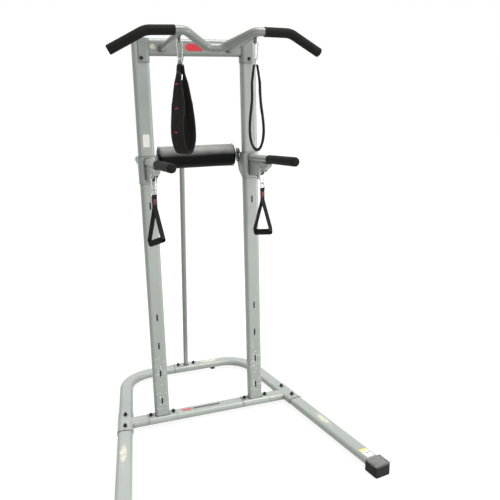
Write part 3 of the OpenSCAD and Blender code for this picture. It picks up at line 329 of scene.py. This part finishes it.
LOOKS = {
    "frame_paint": paint("frame_paint"),
    "black_fasteners": black_steel(),
    "zinc_steel": zinc(),
    "foam_grip": foam_rubber(),
    "foot_rubber": cap_rubber(),
    "black_plastic": black_plastic(),
    "roll_vinyl": vinyl(),
    "sling_fabric": weave("sling_fabric", (0.0055, 0.0048, 0.0045), 0.036, 0.0011,
                          (0.030, 0.026, 0.025)),
    "strap_webbing": weave("strap_webbing", (0.005, 0.005, 0.005), 0.0085, 0.0009,
                           (0.026, 0.025, 0.024)),
}
UPRIGHT_FRONT = 0.0957                  # front plane of the uprights
MEMBER_Y = UPRIGHT_FRONT + 0.026        # middle of the uprights and of the cross member
BEAM_FRONT = 0.1017                     # front face of the crossbeam
SIDE_X = 0.491                          # middle of a leg at the cross member
SPLAY = math.radians(8.5)
LEG_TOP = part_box("leg_left")[1].z
CHIPPED = (0.10, 0.42)                  # heights between which the uprights are chipped

# Patches of worn paint and painted sheen: centre, radii and turn
WORN_SHEEN_LEG_LEFT = ((-0.545, -0.210, LEG_TOP), (0.017, 0.085, 0.02), -SPLAY)
WORN_SHEEN_LEG_RIGHT = ((0.550, -0.262, LEG_TOP), (0.017, 0.070, 0.02), SPLAY)
WORN_SHEEN_REAR = ((0.165, 0.735, LEG_TOP), (0.070, 0.018, 0.02), 0.0)
WORN_BEAM = ((-0.222, 0.102, 2.062), (0.016, 0.02, 0.014), 0.0)

SPECIAL = {
    "leg_left": paint("paint_leg_left", [WORN_SHEEN_LEG_LEFT]),
    "leg_right": paint("paint_leg_right", [WORN_SHEEN_LEG_RIGHT]),
    "rear_u_tube": paint("paint_rear_tube", [WORN_SHEEN_REAR]),
    # Painted shade on the crossbeam, bar and brace above the base
    "top_crossbeam": paint("paint_crossbeam", [WORN_BEAM], shade=0.72),
    "pull_up_bar": paint("paint_bar", shade=0.60),
    "rear_brace": paint("paint_brace", shade=0.70),
    "upright_left": paint("paint_upright_left", chips=CHIPPED),
    "upright_right": paint("paint_upright_right", chips=CHIPPED),
}


def wear(piece, material, body=None):
    """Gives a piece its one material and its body."""
    piece.data.materials.clear()
    piece.data.materials.append(material)
    if body:
        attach(piece, body)
    return piece


for node, obj in NODES.items():
    wear(obj, SPECIAL.get(node, LOOKS[SLOTS[node]]))


# ---------------------------------------------------------------- mesh helpers


def new_piece(name, vertices, faces, smooth=True):
    mesh = bpy.data.meshes.new(name)
    mesh.from_pydata([tuple(v) for v in vertices], [], faces)
    mesh.validate()
    if smooth:
        mesh.polygons.foreach_set("use_smooth", [True] * len(mesh.polygons))
    mesh.update()
    piece = bpy.data.objects.new(name, mesh)
    bpy.context.scene.collection.objects.link(piece)
    return piece


def grid_faces(rows, ring):
    """Quads between closed rings of points, the last ring joined to the first."""
    faces = []
    for i in range(rows):
        low, high = i * ring, (i + 1) % rows * ring
        for k in range(ring):
            m = (k + 1) % ring
            faces.append((low + k, low + m, high + m, high + k))
    return faces


def apply_modifiers(piece):
    depsgraph = bpy.context.evaluated_depsgraph_get()
    mesh = bpy.data.meshes.new_from_object(piece.evaluated_get(depsgraph))
    old = piece.data
    piece.modifiers.clear()
    piece.data = mesh
    bpy.data.meshes.remove(old)


def tube(name, points, radius, sides=8, closed=False):
    """Round tube along a row of points, such as a thread or a piping."""
    count = len(points)
    vertices, faces = [], []
    normal = None
    for i, point in enumerate(points):
        ahead = points[(i + 1) % count] if closed or i + 1 < count else point
        behind = points[i - 1] if closed or i > 0 else point
        along = (ahead - behind).normalized()
        if normal is None:
            normal = along.orthogonal().normalized()
        normal = (normal - along * normal.dot(along)).normalized()
        other = along.cross(normal)
        for k in range(sides):
            a = 2 * math.pi * k / sides
            vertices.append(point + radius * (math.cos(a) * normal + math.sin(a) * other))
    for i in range(count if closed else count - 1):
        j = (i + 1) % count
        for k in range(sides):
            m = (k + 1) % sides
            faces.append((i * sides + k, i * sides + m, j * sides + m, j * sides + k))
    if not closed:
        faces.append(tuple(reversed(range(sides))))
        faces.append(tuple((count - 1) * sides + k for k in range(sides)))
    return new_piece(name, vertices, faces)


class Band:
    """A closed loop of band in its own XZ plane, Y across it.

    stations holds, all the way round, (middle, half thickness vector, half width) as two 2-D
    vectors and a number; profile(v) gives the share of the thickness at v = -1..1 across, and
    wrinkle moves a surface point outwards. The mesh has across faces over the band."""

    def __init__(self, stations, profile, across, wrinkle=None):
        self.stations = stations
        self.profile = profile
        self.across = across
        self.wrinkle = wrinkle or (lambda point: 0.0)
        self.along = [0.0]
        for a, b in zip(stations, stations[1:] + stations[:1]):
            self.along.append(self.along[-1] + (b[0] - a[0]).length)

    def at(self, i, v, side, lift=0.0):
        """Surface point at station i (fractions allowed), v across, on side 1 or -1 of the band."""
        low = int(math.floor(i))
        t = i - low
        a, b = (self.stations[k % len(self.stations)] for k in (low, low + 1))
        middle = a[0].lerp(b[0], t)
        half = a[1].lerp(b[1], t)
        width = a[2] + (b[2] - a[2]) * t
        grow = side * (self.profile(v) + lift / max(half.length, 1e-6))
        flat = middle + half * grow
        point = Vector((flat.x, v * width, flat.y))
        outward = Vector((half.x, 0, half.y)).normalized() * side
        return point + outward * self.wrinkle(point)

    def mesh(self, name):
        n, m = len(self.stations), self.across + 1
        vertices = []
        for i in range(n):
            for side in (1, -1):
                for k in range(m):
                    v = -1 + 2 * k / self.across
                    vertices.append(self.at(i, v * side, side))
        ring = 2 * m
        piece = new_piece(name, vertices, grid_faces(n, ring))
        layer = piece.data.uv_layers.new(name="metres")
        for polygon in piece.data.polygons:
            i = polygon.index // ring
            for loop in polygon.loop_indices:
                index = piece.data.loops[loop].vertex_index
                station = index // ring
                u = self.along[i + 1] if station != i else self.along[i]
                layer.data[loop].uv = (u, vertices[index].y)
        return piece


def place_at(joint_name, drop):
    """Matrix of the frame that hangs drop below a joint, with Y along its axis."""
    joint = JOINTS[joint_name]
    axis = joint["axis"]
    spot = Vector(joint["pos_m"]) - Vector((0, 0, drop))
    turned = Matrix.Rotation(math.atan2(-axis[0], axis[1]), 4, "Z")
    return Matrix.Translation(spot) @ turned


RING_DROP = 0.030           # from a ring's top to the middle of its flat bar
RING_HOLE = 0.0023          # radius inside the webbing that wraps that bar
SKIN = 0.0002               # how far a soft surface stays inside its solid


# ---------------------------------------------------------------- arm slings

SLING_LENGTH = 0.388
SLING_THICK = 0.013
SLING_NECK = 0.050          # width of the loop where the neck starts
SLING_BELLY = 0.098         # height of the round bottom of the loop
SLING_OPEN = 0.078          # greatest width of the loop
NECK_LOW = -0.078           # where the neck starts, below the ring
NECK_HALF = 0.0138          # half the thickness of the webbing over the ring
NECK_TOP = 0.0062           # height of that webbing above the ring's bar
# Height below the ring, and half the band's width there
SLING_WIDTHS = [(-0.400, 0.049), (-0.165, 0.049), (-0.110, 0.0355),
                (-0.036, 0.0122), (0.02, 0.0122)]


def sling_half(s):
    """Half the loop's width, from the belly at s = 0 towards the neck at s = 1."""
    return (SLING_NECK + (SLING_OPEN - SLING_NECK) * (1 + math.cos(math.pi * s)) / 2) / 2


def sling_edge(inset):
    """Right half of the loop's outline from the bottom to the neck, drawn in by inset."""
    belly_z = -SLING_LENGTH + SLING_BELLY
    points = []
    for k in range(22):
        a = math.pi / 2 * k / 22
        points.append(Vector(((SLING_OPEN / 2 - inset) * math.sin(a),
                              belly_z - (SLING_BELLY - inset) * math.cos(a))))
    for k in range(31):
        s = k / 30
        points.append(Vector((sling_half(s) - inset,
                              belly_z + (SLING_LENGTH - SLING_BELLY) * s * 0.6)))
    return points


def sling_half_width(z):
    """Half the band's width at height z below the ring."""
    for (z0, w0), (z1, w1) in zip(SLING_WIDTHS, SLING_WIDTHS[1:]):
        if z0 <= z <= z1:
            return w0 + (w1 - w0) * (z - z0) / (z1 - z0)
    return SLING_WIDTHS[-1][1]


def sling_stations():
    outer, inner = sling_edge(SKIN), sling_edge(SLING_THICK - SKIN)
    wrap = RING_HOLE + SKIN
    neck_out = Vector((SLING_NECK / 2 - SKIN, NECK_LOW))
    neck_in = Vector((SLING_NECK / 2 - SLING_THICK + SKIN, NECK_LOW))
    for k in range(1, 26):
        outer.append(neck_out.lerp(Vector((NECK_HALF, -0.002)), k / 25))
        inner.append(neck_in.lerp(Vector((wrap, -0.001)), k / 25))
    for k in range(1, 9):
        a = math.pi / 2 * k / 8
        outer.append(Vector((NECK_HALF * math.cos(a),
                             NECK_TOP * math.sin(a) - 0.002 * (1 - math.sin(a)))))
        inner.append(Vector((wrap * math.cos(a), wrap * math.sin(a))))
    right = [((o + i) / 2, (o - i) / 2) for o, i in zip(outer, inner)]
    left = [(Vector((-m.x, m.y)), Vector((-h.x, h.y))) for m, h in reversed(right[1:-1])]
    return [(m, h, sling_half_width(m.y)) for m, h in right + left]


def pad_profile(v):
    """Padded band: full between its bound edges, with two shallow quilted channels."""
    body = (1 - abs(v) ** 7) ** 0.5 if abs(v) < 1 else 0.0
    channels = sum(math.exp(-((abs(v) - c) / 0.035) ** 2) for c in (0.34, 0.78))
    return 0.34 + 0.62 * body - 0.16 * channels * body


def sling(side):
    seed = Vector((11.0, 3.0, 5.0)) if side == "left" else Vector((4.0, 17.0, 2.0))

    def wrinkle(p):
        q = Vector((p.x * 26, p.y * 20, p.z * 9)) + seed
        return 0.0011 * (noise.noise(q * 2) - 0.35) + 0.0004 * noise.noise(q * 7)

    band = Band(sling_stations(), pad_profile, 36, wrinkle)
    piece = band.mesh(f"arm_sling_{side}")
    where = place_at(f"{side}_sling_swing", RING_DROP)
    piece.matrix_world = where
    wear(piece, LOOKS["sling_fabric"], f"{side}_arm_sling")
    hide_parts(f"sling_{side}")
    return band, where


def zigzag(surface, name, material, body, steps, radius):
    """A thread that runs to and fro over a surface(a, b) with a and b from 0 to 1."""
    points = []
    for k in range(steps + 1):
        ends = (0.0, 1.0) if k % 2 == 0 else (1.0, 0.0)
        for e in (ends if k < steps else ends[:1]):
            points.append(surface(k / steps, e))
    piece = tube(name, points, radius, 6)
    return wear(piece, material, body)


THREAD_LIFT = 0.0003
RED_THREAD = thread_material("red_thread", (0.52, 0.045, 0.05))
DARK_RED_THREAD = thread_material("dark_red_thread", (0.16, 0.022, 0.024))
BLACK_THREAD = thread_material("black_thread", (0.03, 0.03, 0.03))


def station_at(band, z, sign):
    """The fractional station of a band at height z, on its strand at x of the given sign."""
    n = len(band.stations)
    for i in range(n):
        a, b = band.stations[i][0], band.stations[(i + 1) % n][0]
        if a.x * sign > 0 and b.x * sign > 0 and (a.y - z) * (b.y - z) <= 0 and a.y != b.y:
            return i + (z - a.y) / (b.y - a.y)
    return 0.0


def bar_tack(band, where, name, z, strand, half_width, size, material, body,
             middle=0.0, steps=17, radius=0.00042):
    """Dense zigzag stitches on the outside of a band at height z, size[0] across by size[1] along.

    strand is the sign of x there, and middle is how far across the tack sits."""
    i0 = station_at(band, z - size[1] / 2, strand)
    i1 = station_at(band, z + size[1] / 2, strand)

    def surface(a, b):
        v = (middle + (a - 0.5) * size[0]) / half_width
        return where @ band.at(i0 + (i1 - i0) * b, v, 1, THREAD_LIFT)

    return zigzag(surface, name, material, body, steps, radius)


# ---------------------------------------------------------------- hand grips

STRAP_WIDTH = 0.028
STRAP_INSIDE = 0.020        # width of the strap where it is folded inside the grip
STRAP_FOLD = 0.014          # height over which it folds
STRAP_THICK = 0.003
STEM = 0.058                # length of the sewn part below the ring
HAND_D = 0.031
HAND_L = 0.106
PATH_STEP = 0.002


def rounded_path(corners, radii):
    """Closed path through the corners, each cut by an arc-like curve."""
    points = []
    n = len(corners)
    for i, corner in enumerate(corners):
        before, after = corners[i - 1], corners[(i + 1) % n]
        cut = radii[i]
        start = corner + (before - corner).normalized() * cut
        end = corner + (after - corner).normalized() * cut
        for k in range(7):
            t = k / 6
            points.append(start * (1 - t) ** 2 + corner * 2 * t * (1 - t) + end * t * t)
        nxt = after + (corner - after).normalized() * radii[(i + 1) % n]
        gap = (nxt - end).length
        for k in range(1, max(int(gap / PATH_STEP), 1)):
            points.append(end.lerp(nxt, k * PATH_STEP / gap))
    return points


def strap_profile(v):
    """Webbing: full across, with thinner edges."""
    return 1.0 - 0.45 * abs(v) ** 8


def hand_strap(side):
    """One loop of webbing: over the ring, down the sewn stem and legs, and through the grip."""
    swing, spin = JOINTS[f"{side}_grip_strap_swing"], JOINTS[f"{side}_grip_tube_spin"]
    length = swing["pos_m"][2] - RING_DROP - spin["pos_m"][2]
    tilt = math.asin(spin["axis"][2])
    reach = HAND_L / 2 + 0.0003 + STRAP_THICK / 2
    clear = HAND_D / 2 + 0.004

    def beside(x, h):
        return Vector((x * math.cos(tilt) - h * math.sin(tilt),
                       -length + x * math.sin(tilt) + h * math.cos(tilt)))

    half = STRAP_THICK / 2 + 0.0001
    wrap = RING_HOLE + STRAP_THICK / 2
    # Down the right leg, through the grip, up the left leg and over the ring
    corners = [Vector((half, -STEM)), beside(reach, clear), beside(reach, 0),
               beside(-reach, 0), beside(-reach, clear), Vector((-half, -STEM)),
               Vector((-half, -0.010)), Vector((-wrap, -0.002)), Vector((-wrap, wrap)),
               Vector((wrap, wrap)), Vector((wrap, -0.002)), Vector((half, -0.010))]
    half_radii = [0.005, 0.007, 0.004]
    top_radii = [0.003, 0.002, 0.0035]
    radii = half_radii + half_radii[::-1] + top_radii + top_radii[::-1]
    path = rounded_path(corners, radii)
    n = len(path)
    stations = []
    for i in range(n):
        along = (path[(i + 1) % n] - path[i - 1]).normalized()
        low = -length + path[i].x * math.tan(tilt)
        fold = min(max((path[i].y - low) / STRAP_FOLD, 0.0), 1.0)
        width = STRAP_INSIDE + (STRAP_WIDTH - STRAP_INSIDE) * (3 * fold ** 2 - 2 * fold ** 3)
        half_vector = Vector((along.y, -along.x)) * -STRAP_THICK / 2 * 0.93
        stations.append((path[i], half_vector, width / 2 - SKIN))
    band = Band(stations, strap_profile, 12)
    piece = band.mesh(f"grip_strap_{side}")
    where = place_at(f"{side}_grip_strap_swing", RING_DROP)
    piece.matrix_world = where
    wear(piece, LOOKS["strap_webbing"], f"{side}_grip_strap")
    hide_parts(f"hand_strap_{side}")
    return band, where


TACK_Z = -0.030             # the tacks by the rings, below their bars
SLING_TACKS = (-0.080, -0.185, -0.288)

for side in SIDES:
    band, where = sling(side)
    body = f"{side}_arm_sling"
    for k, z in enumerate(SLING_TACKS):
        bar_tack(band, where, f"sling_tack_{side}_{k}", z, -1, sling_half_width(z),
                 (0.030, 0.008), RED_THREAD, body, middle=0.004)
    for k, strand in enumerate((-1, 1)):
        bar_tack(band, where, f"sling_neck_tack_{side}_{k}", TACK_Z, strand,
                 sling_half_width(TACK_Z), (0.0195, 0.012), BLACK_THREAD, body)
    band, where = hand_strap(side)
    body = f"{side}_grip_strap"
    for k, strand in enumerate((-1, 1)):
        bar_tack(band, where, f"grip_tack_{side}_{k}", TACK_Z, strand, STRAP_WIDTH / 2,
                 (0.022, 0.030), DARK_RED_THREAD, body, steps=25, radius=0.0004)


# ---------------------------------------------------------------- back roll

ROLL_LOW, ROLL_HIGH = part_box("back_roll")
ROLL_MIDDLE = (ROLL_LOW + ROLL_HIGH) / 2
ROLL_RADIUS = (ROLL_HIGH.z - ROLL_LOW.z) / 2
ROLL_HALF = (ROLL_HIGH.x - ROLL_LOW.x) / 2
ROLL_BORE = 0.0166
ROLL_ROUND = 0.012          # rounding of the rims
ROLL_SIDES = 72
ROLL_SEAM = 0.0085          # from an end to its seam and piping
PIPING = 0.0014


def roll_core():
    """The roll before it is stuffed: a ring profile turned about the tube, a little too small."""
    r, h, c = ROLL_RADIUS - 0.0028, ROLL_HALF - 0.0025, ROLL_ROUND
    turns = [math.pi / 8 * k for k in range(1, 5)]
    profile = [(ROLL_BORE, -h), (r - c, -h)]
    profile += [(r - c + c * math.sin(a), -h + c - c * math.cos(a)) for a in turns]
    profile += [(r, -h + c + (2 * h - 2 * c) * k / 30) for k in range(1, 31)]
    profile += [(r - c + c * math.cos(a), h - c + c * math.sin(a)) for a in turns]
    profile += [(ROLL_BORE, h)]
    angles = [2 * math.pi * k / ROLL_SIDES for k in range(ROLL_SIDES)]
    vertices = [ROLL_MIDDLE + Vector((x, radius * math.cos(a), radius * math.sin(a)))
                for radius, x in profile for a in angles]
    return new_piece("back_roll_pad", vertices, grid_faces(len(profile), ROLL_SIDES))


VOXEL = 0.0055              # size of the remeshed faces
PINNED = 0.012              # depth of the inner foam that stays put
PRESSURE = 4.0
STUFF_FRAMES = 20
STUFF_LIMIT = 0.004         # how far a point may move


def axis_distance(point):
    return math.hypot(point.y - ROLL_MIDDLE.y, point.z - ROLL_MIDDLE.z)


def stuff(piece):
    """Swells a closed piece like a stuffed cover, with every point's move held under its limit."""
    piece.data.remesh_voxel_size = VOXEL
    bpy.context.view_layer.objects.active = piece
    piece.select_set(True)
    bpy.ops.object.voxel_remesh()
    start = [v.co.copy() for v in piece.data.vertices]
    pin = piece.vertex_groups.new(name="pin")
    held = [v.index for v in piece.data.vertices if axis_distance(v.co) < ROLL_BORE + PINNED]
    pin.add(held, 1.0, "REPLACE")
    cloth = piece.modifiers.new("cloth", "CLOTH")
    cloth.settings.use_pressure = True
    cloth.settings.uniform_pressure_force = PRESSURE
    cloth.settings.effector_weights.gravity = 0.0
    cloth.settings.vertex_group_mass = "pin"
    cloth.settings.quality = 5
    scene = bpy.context.scene
    for number in range(1, STUFF_FRAMES + 1):
        scene.frame_set(number)
        bpy.context.evaluated_depsgraph_get().update()
    apply_modifiers(piece)
    scene.frame_set(1)
    for vertex, before in zip(piece.data.vertices, start):
        move = vertex.co - before
        if move.length > STUFF_LIMIT:
            vertex.co = before + move.normalized() * STUFF_LIMIT


def finish_roll(piece):
    """Seam bands at both ends, faint puckers beside them, and nothing past the roll's own size."""
    for vertex in piece.data.vertices:
        p = vertex.co
        r = axis_distance(p)
        if r < ROLL_BORE + 0.014:
            continue
        out = Vector((0, p.y - ROLL_MIDDLE.y, p.z - ROLL_MIDDLE.z)) / max(r, 1e-6)
        angle = math.atan2(out.z, out.y)
        end = ROLL_HALF - abs(p.x - ROLL_MIDDLE.x)
        near = math.exp(-((end - 0.010) / 0.012) ** 2)
        pucker = 0.0008 * near * math.sin(44 * angle + 3 * math.sin(5 * angle))
        slack = 0.0013 * noise.noise(Vector((p.x * 9, angle * 1.6, 3.1)))
        seam = -0.0022 * math.exp(-((end - ROLL_SEAM) / 0.0022) ** 2)
        r_new = min(r + pucker + slack + seam, ROLL_RADIUS - SKIN)
        vertex.co = ROLL_MIDDLE + Vector((p.x - ROLL_MIDDLE.x, 0, 0)) + out * r_new
        vertex.co.x = min(max(vertex.co.x, ROLL_LOW.x + 0.0004), ROLL_HIGH.x - 0.0004)
    piece.data.polygons.foreach_set("use_smooth", [True] * len(piece.data.polygons))
    smooth = piece.modifiers.new("smooth", "SUBSURF")
    smooth.levels = smooth.render_levels = 1
    apply_modifiers(piece)


roll = roll_core()
stuff(roll)
finish_roll(roll)
wear(roll, LOOKS["roll_vinyl"], "dip_carriage")
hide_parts("back_roll")
piping_r = ROLL_RADIUS - SKIN - PIPING
for k, sign in enumerate((-1, 1)):
    x = sign * (ROLL_HALF - ROLL_SEAM)
    ring = [ROLL_MIDDLE + Vector((x, piping_r * math.cos(a), piping_r * math.sin(a)))
            for a in (2 * math.pi * i / 96 for i in range(96))]
    piping = tube(f"roll_piping_{k}", ring, PIPING, closed=True)
    wear(piping, LOOKS["roll_vinyl"], "dip_carriage")


# ---------------------------------------------------------------- labels


LABEL_THICK = 0.0002
STRIPE_THICK = 0.0004       # a stripe on a label stands proud of it
LABEL_GAP = 0.0002          # under a label


def sticker(name, corners, material, thickness=LABEL_THICK, cut=0.0025):
    """Thin blank label over four corners that lie on a flat face, rounded by cut at each."""
    a, b, c, d = (Vector(p) for p in corners)
    normal = (b - a).cross(d - a).normalized()
    rim = []
    for p, q, r in ((d, a, b), (a, b, c), (b, c, d), (c, d, a)):
        u, w = (p - q).normalized() * cut, (r - q).normalized() * cut
        rim += [q + u, q + (u + w) * 0.3, q + w]
    lift = normal * LABEL_GAP
    n = len(rim)
    vertices = [p + lift for p in rim] + [p + lift + normal * thickness for p in rim]
    faces = [tuple(range(n, 2 * n)), tuple(reversed(range(n)))]
    faces += [(i, (i + 1) % n, n + (i + 1) % n, n + i) for i in range(n)]
    wear(new_piece(name, vertices, faces, False), material, "tower_frame")


def front_rectangle(x0, x1, z0, z1, y):
    return [(x0, y, z0), (x1, y, z0), (x1, y, z1), (x0, y, z1)]


def on_leg(along, across):
    """A point on the right leg's flat top, along it from the cross member and across it."""
    return (SIDE_X + along * math.sin(SPLAY) + across * math.cos(SPLAY),
            MEMBER_Y - along * math.cos(SPLAY) + across * math.sin(SPLAY), LEG_TOP)


def leg_label(name, a0, a1, c0, c1, material, thickness=LABEL_THICK):
    corners = [on_leg(a1, c0), on_leg(a1, c1), on_leg(a0, c1), on_leg(a0, c0)]
    sticker(name, corners, material, thickness)


def member_stripe(name, x0, x1, half, material):
    low, high = MEMBER_Y - half, MEMBER_Y + half
    corners = [(x0, low, LEG_TOP), (x1, low, LEG_TOP), (x1, high, LEG_TOP), (x0, high, LEG_TOP)]
    sticker(name, corners, material)


WHITE = sticker_material("sticker_white", (0.80, 0.80, 0.76))
YELLOW = sticker_material("stripe_yellow", (0.80, 0.62, 0.05))
RED = sticker_material("stripe_red", (0.62, 0.03, 0.04))
GREY = sticker_material("stripe_grey", (0.028, 0.029, 0.030))

sticker("label_upright", front_rectangle(-0.2985, -0.2650, 1.573, 1.637, UPRIGHT_FRONT), WHITE)
leg_label("label_leg", 0.735, 0.805, -0.0215, 0.0215, WHITE)
leg_label("label_leg_stripe_yellow", 0.737, 0.751, -0.0200, 0.0200, YELLOW, STRIPE_THICK)
leg_label("label_leg_stripe_red", 0.768, 0.774, -0.0050, 0.0180, RED, STRIPE_THICK)
sticker("stripe_beam_red", front_rectangle(-0.054, 0.044, 2.0435, 2.0785, BEAM_FRONT), RED,
        cut=0.0165)
member_stripe("stripe_member_red", -0.165, -0.110, 0.010, RED)
member_stripe("stripe_member_grey", -0.100, 0.060, 0.0075, GREY)


# ---------------------------------------------------------------- stage, light and camera

FLOOR_HALF = 30
floor_corners = [(sx * FLOOR_HALF, sy * FLOOR_HALF, 0)
                 for sx, sy in ((-1, -1), (1, -1), (1, 1), (-1, 1))]
floor = new_piece("floor", floor_corners, [(0, 1, 2, 3)], False)
look = Shader("floor", (0.27, 0.27, 0.265), 0.9, Specular_IOR_Level=0.1)
look.tint(look.ramp(look.noise(0.7, 2), 0.3, 0.7, 0.0, 0.2), (0.25, 0.25, 0.245))
# White where it is seen, with a faint glow round the part, and matt for every other ray
reach = look.add("ShaderNodeVectorMath", {0: look.place}, operation="LENGTH")
pool = look.ramp(reach.outputs["Value"], 1.0, 2.6, 0.15, 0.0)
strength = look.math("MAXIMUM", pool, look.math("MULTIPLY", look.seen(), 0.84))
glow = look.add("ShaderNodeEmission", {"Strength": strength})
both = look.add("ShaderNodeAddShader", {0: glow.outputs[0], 1: look.principled.outputs[0]})
look.tree.links.new(both.outputs[0], look.tree.nodes["Material Output"].inputs["Surface"])
floor.data.materials.append(look.material)

world = bpy.data.worlds.new("studio")
bpy.context.scene.world = world
world.use_nodes = True
sky = Nodes(world.node_tree)

# A pale room: a little light from the front and above, more from a wall behind, and white
# where the camera looks
view = sky.add("ShaderNodeTexCoord").outputs["Generated"]
direction = sky.add("ShaderNodeSeparateXYZ", {0: view}).outputs
height, depth = direction["Z"], direction["Y"]
ambient = sky.ramp(height, 0.02, 0.40, 0.10, 0.42)
front = sky.ramp(depth, -0.2, -0.8, 0.0, 0.35)
above = sky.math("MULTIPLY", sky.ramp(height, 0.18, 0.36), sky.ramp(height, 0.80, 0.60))
wall = sky.math("MULTIPLY", sky.ramp(depth, 0.10, 0.50, 0.0, 0.9), above)
room = sky.math("ADD", sky.math("ADD", ambient, front), wall)
background = sky.tree.nodes["Background"]
background.inputs["Color"].default_value = (1.0, 1.0, 1.0, 1.0)
sky.tree.links.new(sky.math("MAXIMUM", room, sky.seen()), background.inputs["Strength"])


def put_light(light, location, target):
    """Adds a lamp at location that points at target."""
    lamp = bpy.data.objects.new(light.name, light)
    lamp.location = location
    aim = (Vector(target) - lamp.location).to_track_quat("-Z", "Y")
    lamp.rotation_euler = aim.to_euler()
    bpy.context.scene.collection.objects.link(lamp)


def area_light(name, location, target, size, watts):
    light = bpy.data.lights.new(name, "AREA")
    light.shape = "RECTANGLE"
    light.size, light.size_y = size
    light.energy = watts
    put_light(light, location, target)


area_light("overhead", (2.2, -1.8, 9.5), (0.0, 0.0, 1.0), (4.5, 4.5), 840)
area_light("front_fill", (0.6, -5.0, 0.45), (0.0, 0.0, 0.5), (5.0, 0.8), 62)
area_light("right_fill", (4.2, -2.6, 1.2), (0.1, 0.0, 0.5), (1.6, 2.2), 95)

low_back = bpy.data.lights.new("low_back", "SPOT")
low_back.energy = 90
low_back.spot_size = math.radians(30)
low_back.spot_blend = 0.7
low_back.shadow_soft_size = 0.9
put_light(low_back, (0.5, 5.0, 3.2), (0.0, -0.1, -0.2))

CAMERA_AT = Vector((-0.78, -2.9103, 1.738))
YAW, PITCH, ROLL = (math.radians(a) for a in (19.15, -13.39, -1.24))
SENSOR = 36.0               # mm
FOCAL = 580.6 / 500         # focal length as a share of the frame's width
forward = Vector((math.sin(YAW) * math.cos(PITCH), math.cos(YAW) * math.cos(PITCH),
                  math.sin(PITCH)))
level = Vector((math.cos(YAW), -math.sin(YAW), 0.0))
upward = level.cross(forward)
right = math.cos(ROLL) * level + math.sin(ROLL) * upward
up = right.cross(forward)
camera_data = bpy.data.cameras.new("camera")
camera_data.sensor_width = SENSOR
camera_data.lens = SENSOR * FOCAL
camera = bpy.data.objects.new("camera", camera_data)
camera.matrix_world = Matrix((
    (right.x, up.x, -forward.x, CAMERA_AT.x),
    (right.y, up.y, -forward.y, CAMERA_AT.y),
    (right.z, up.z, -forward.z, CAMERA_AT.z),
    (0, 0, 0, 1)))
bpy.context.scene.collection.objects.link(camera)
bpy.context.scene.camera = camera
bpy.context.scene.view_settings.view_transform = "Standard"
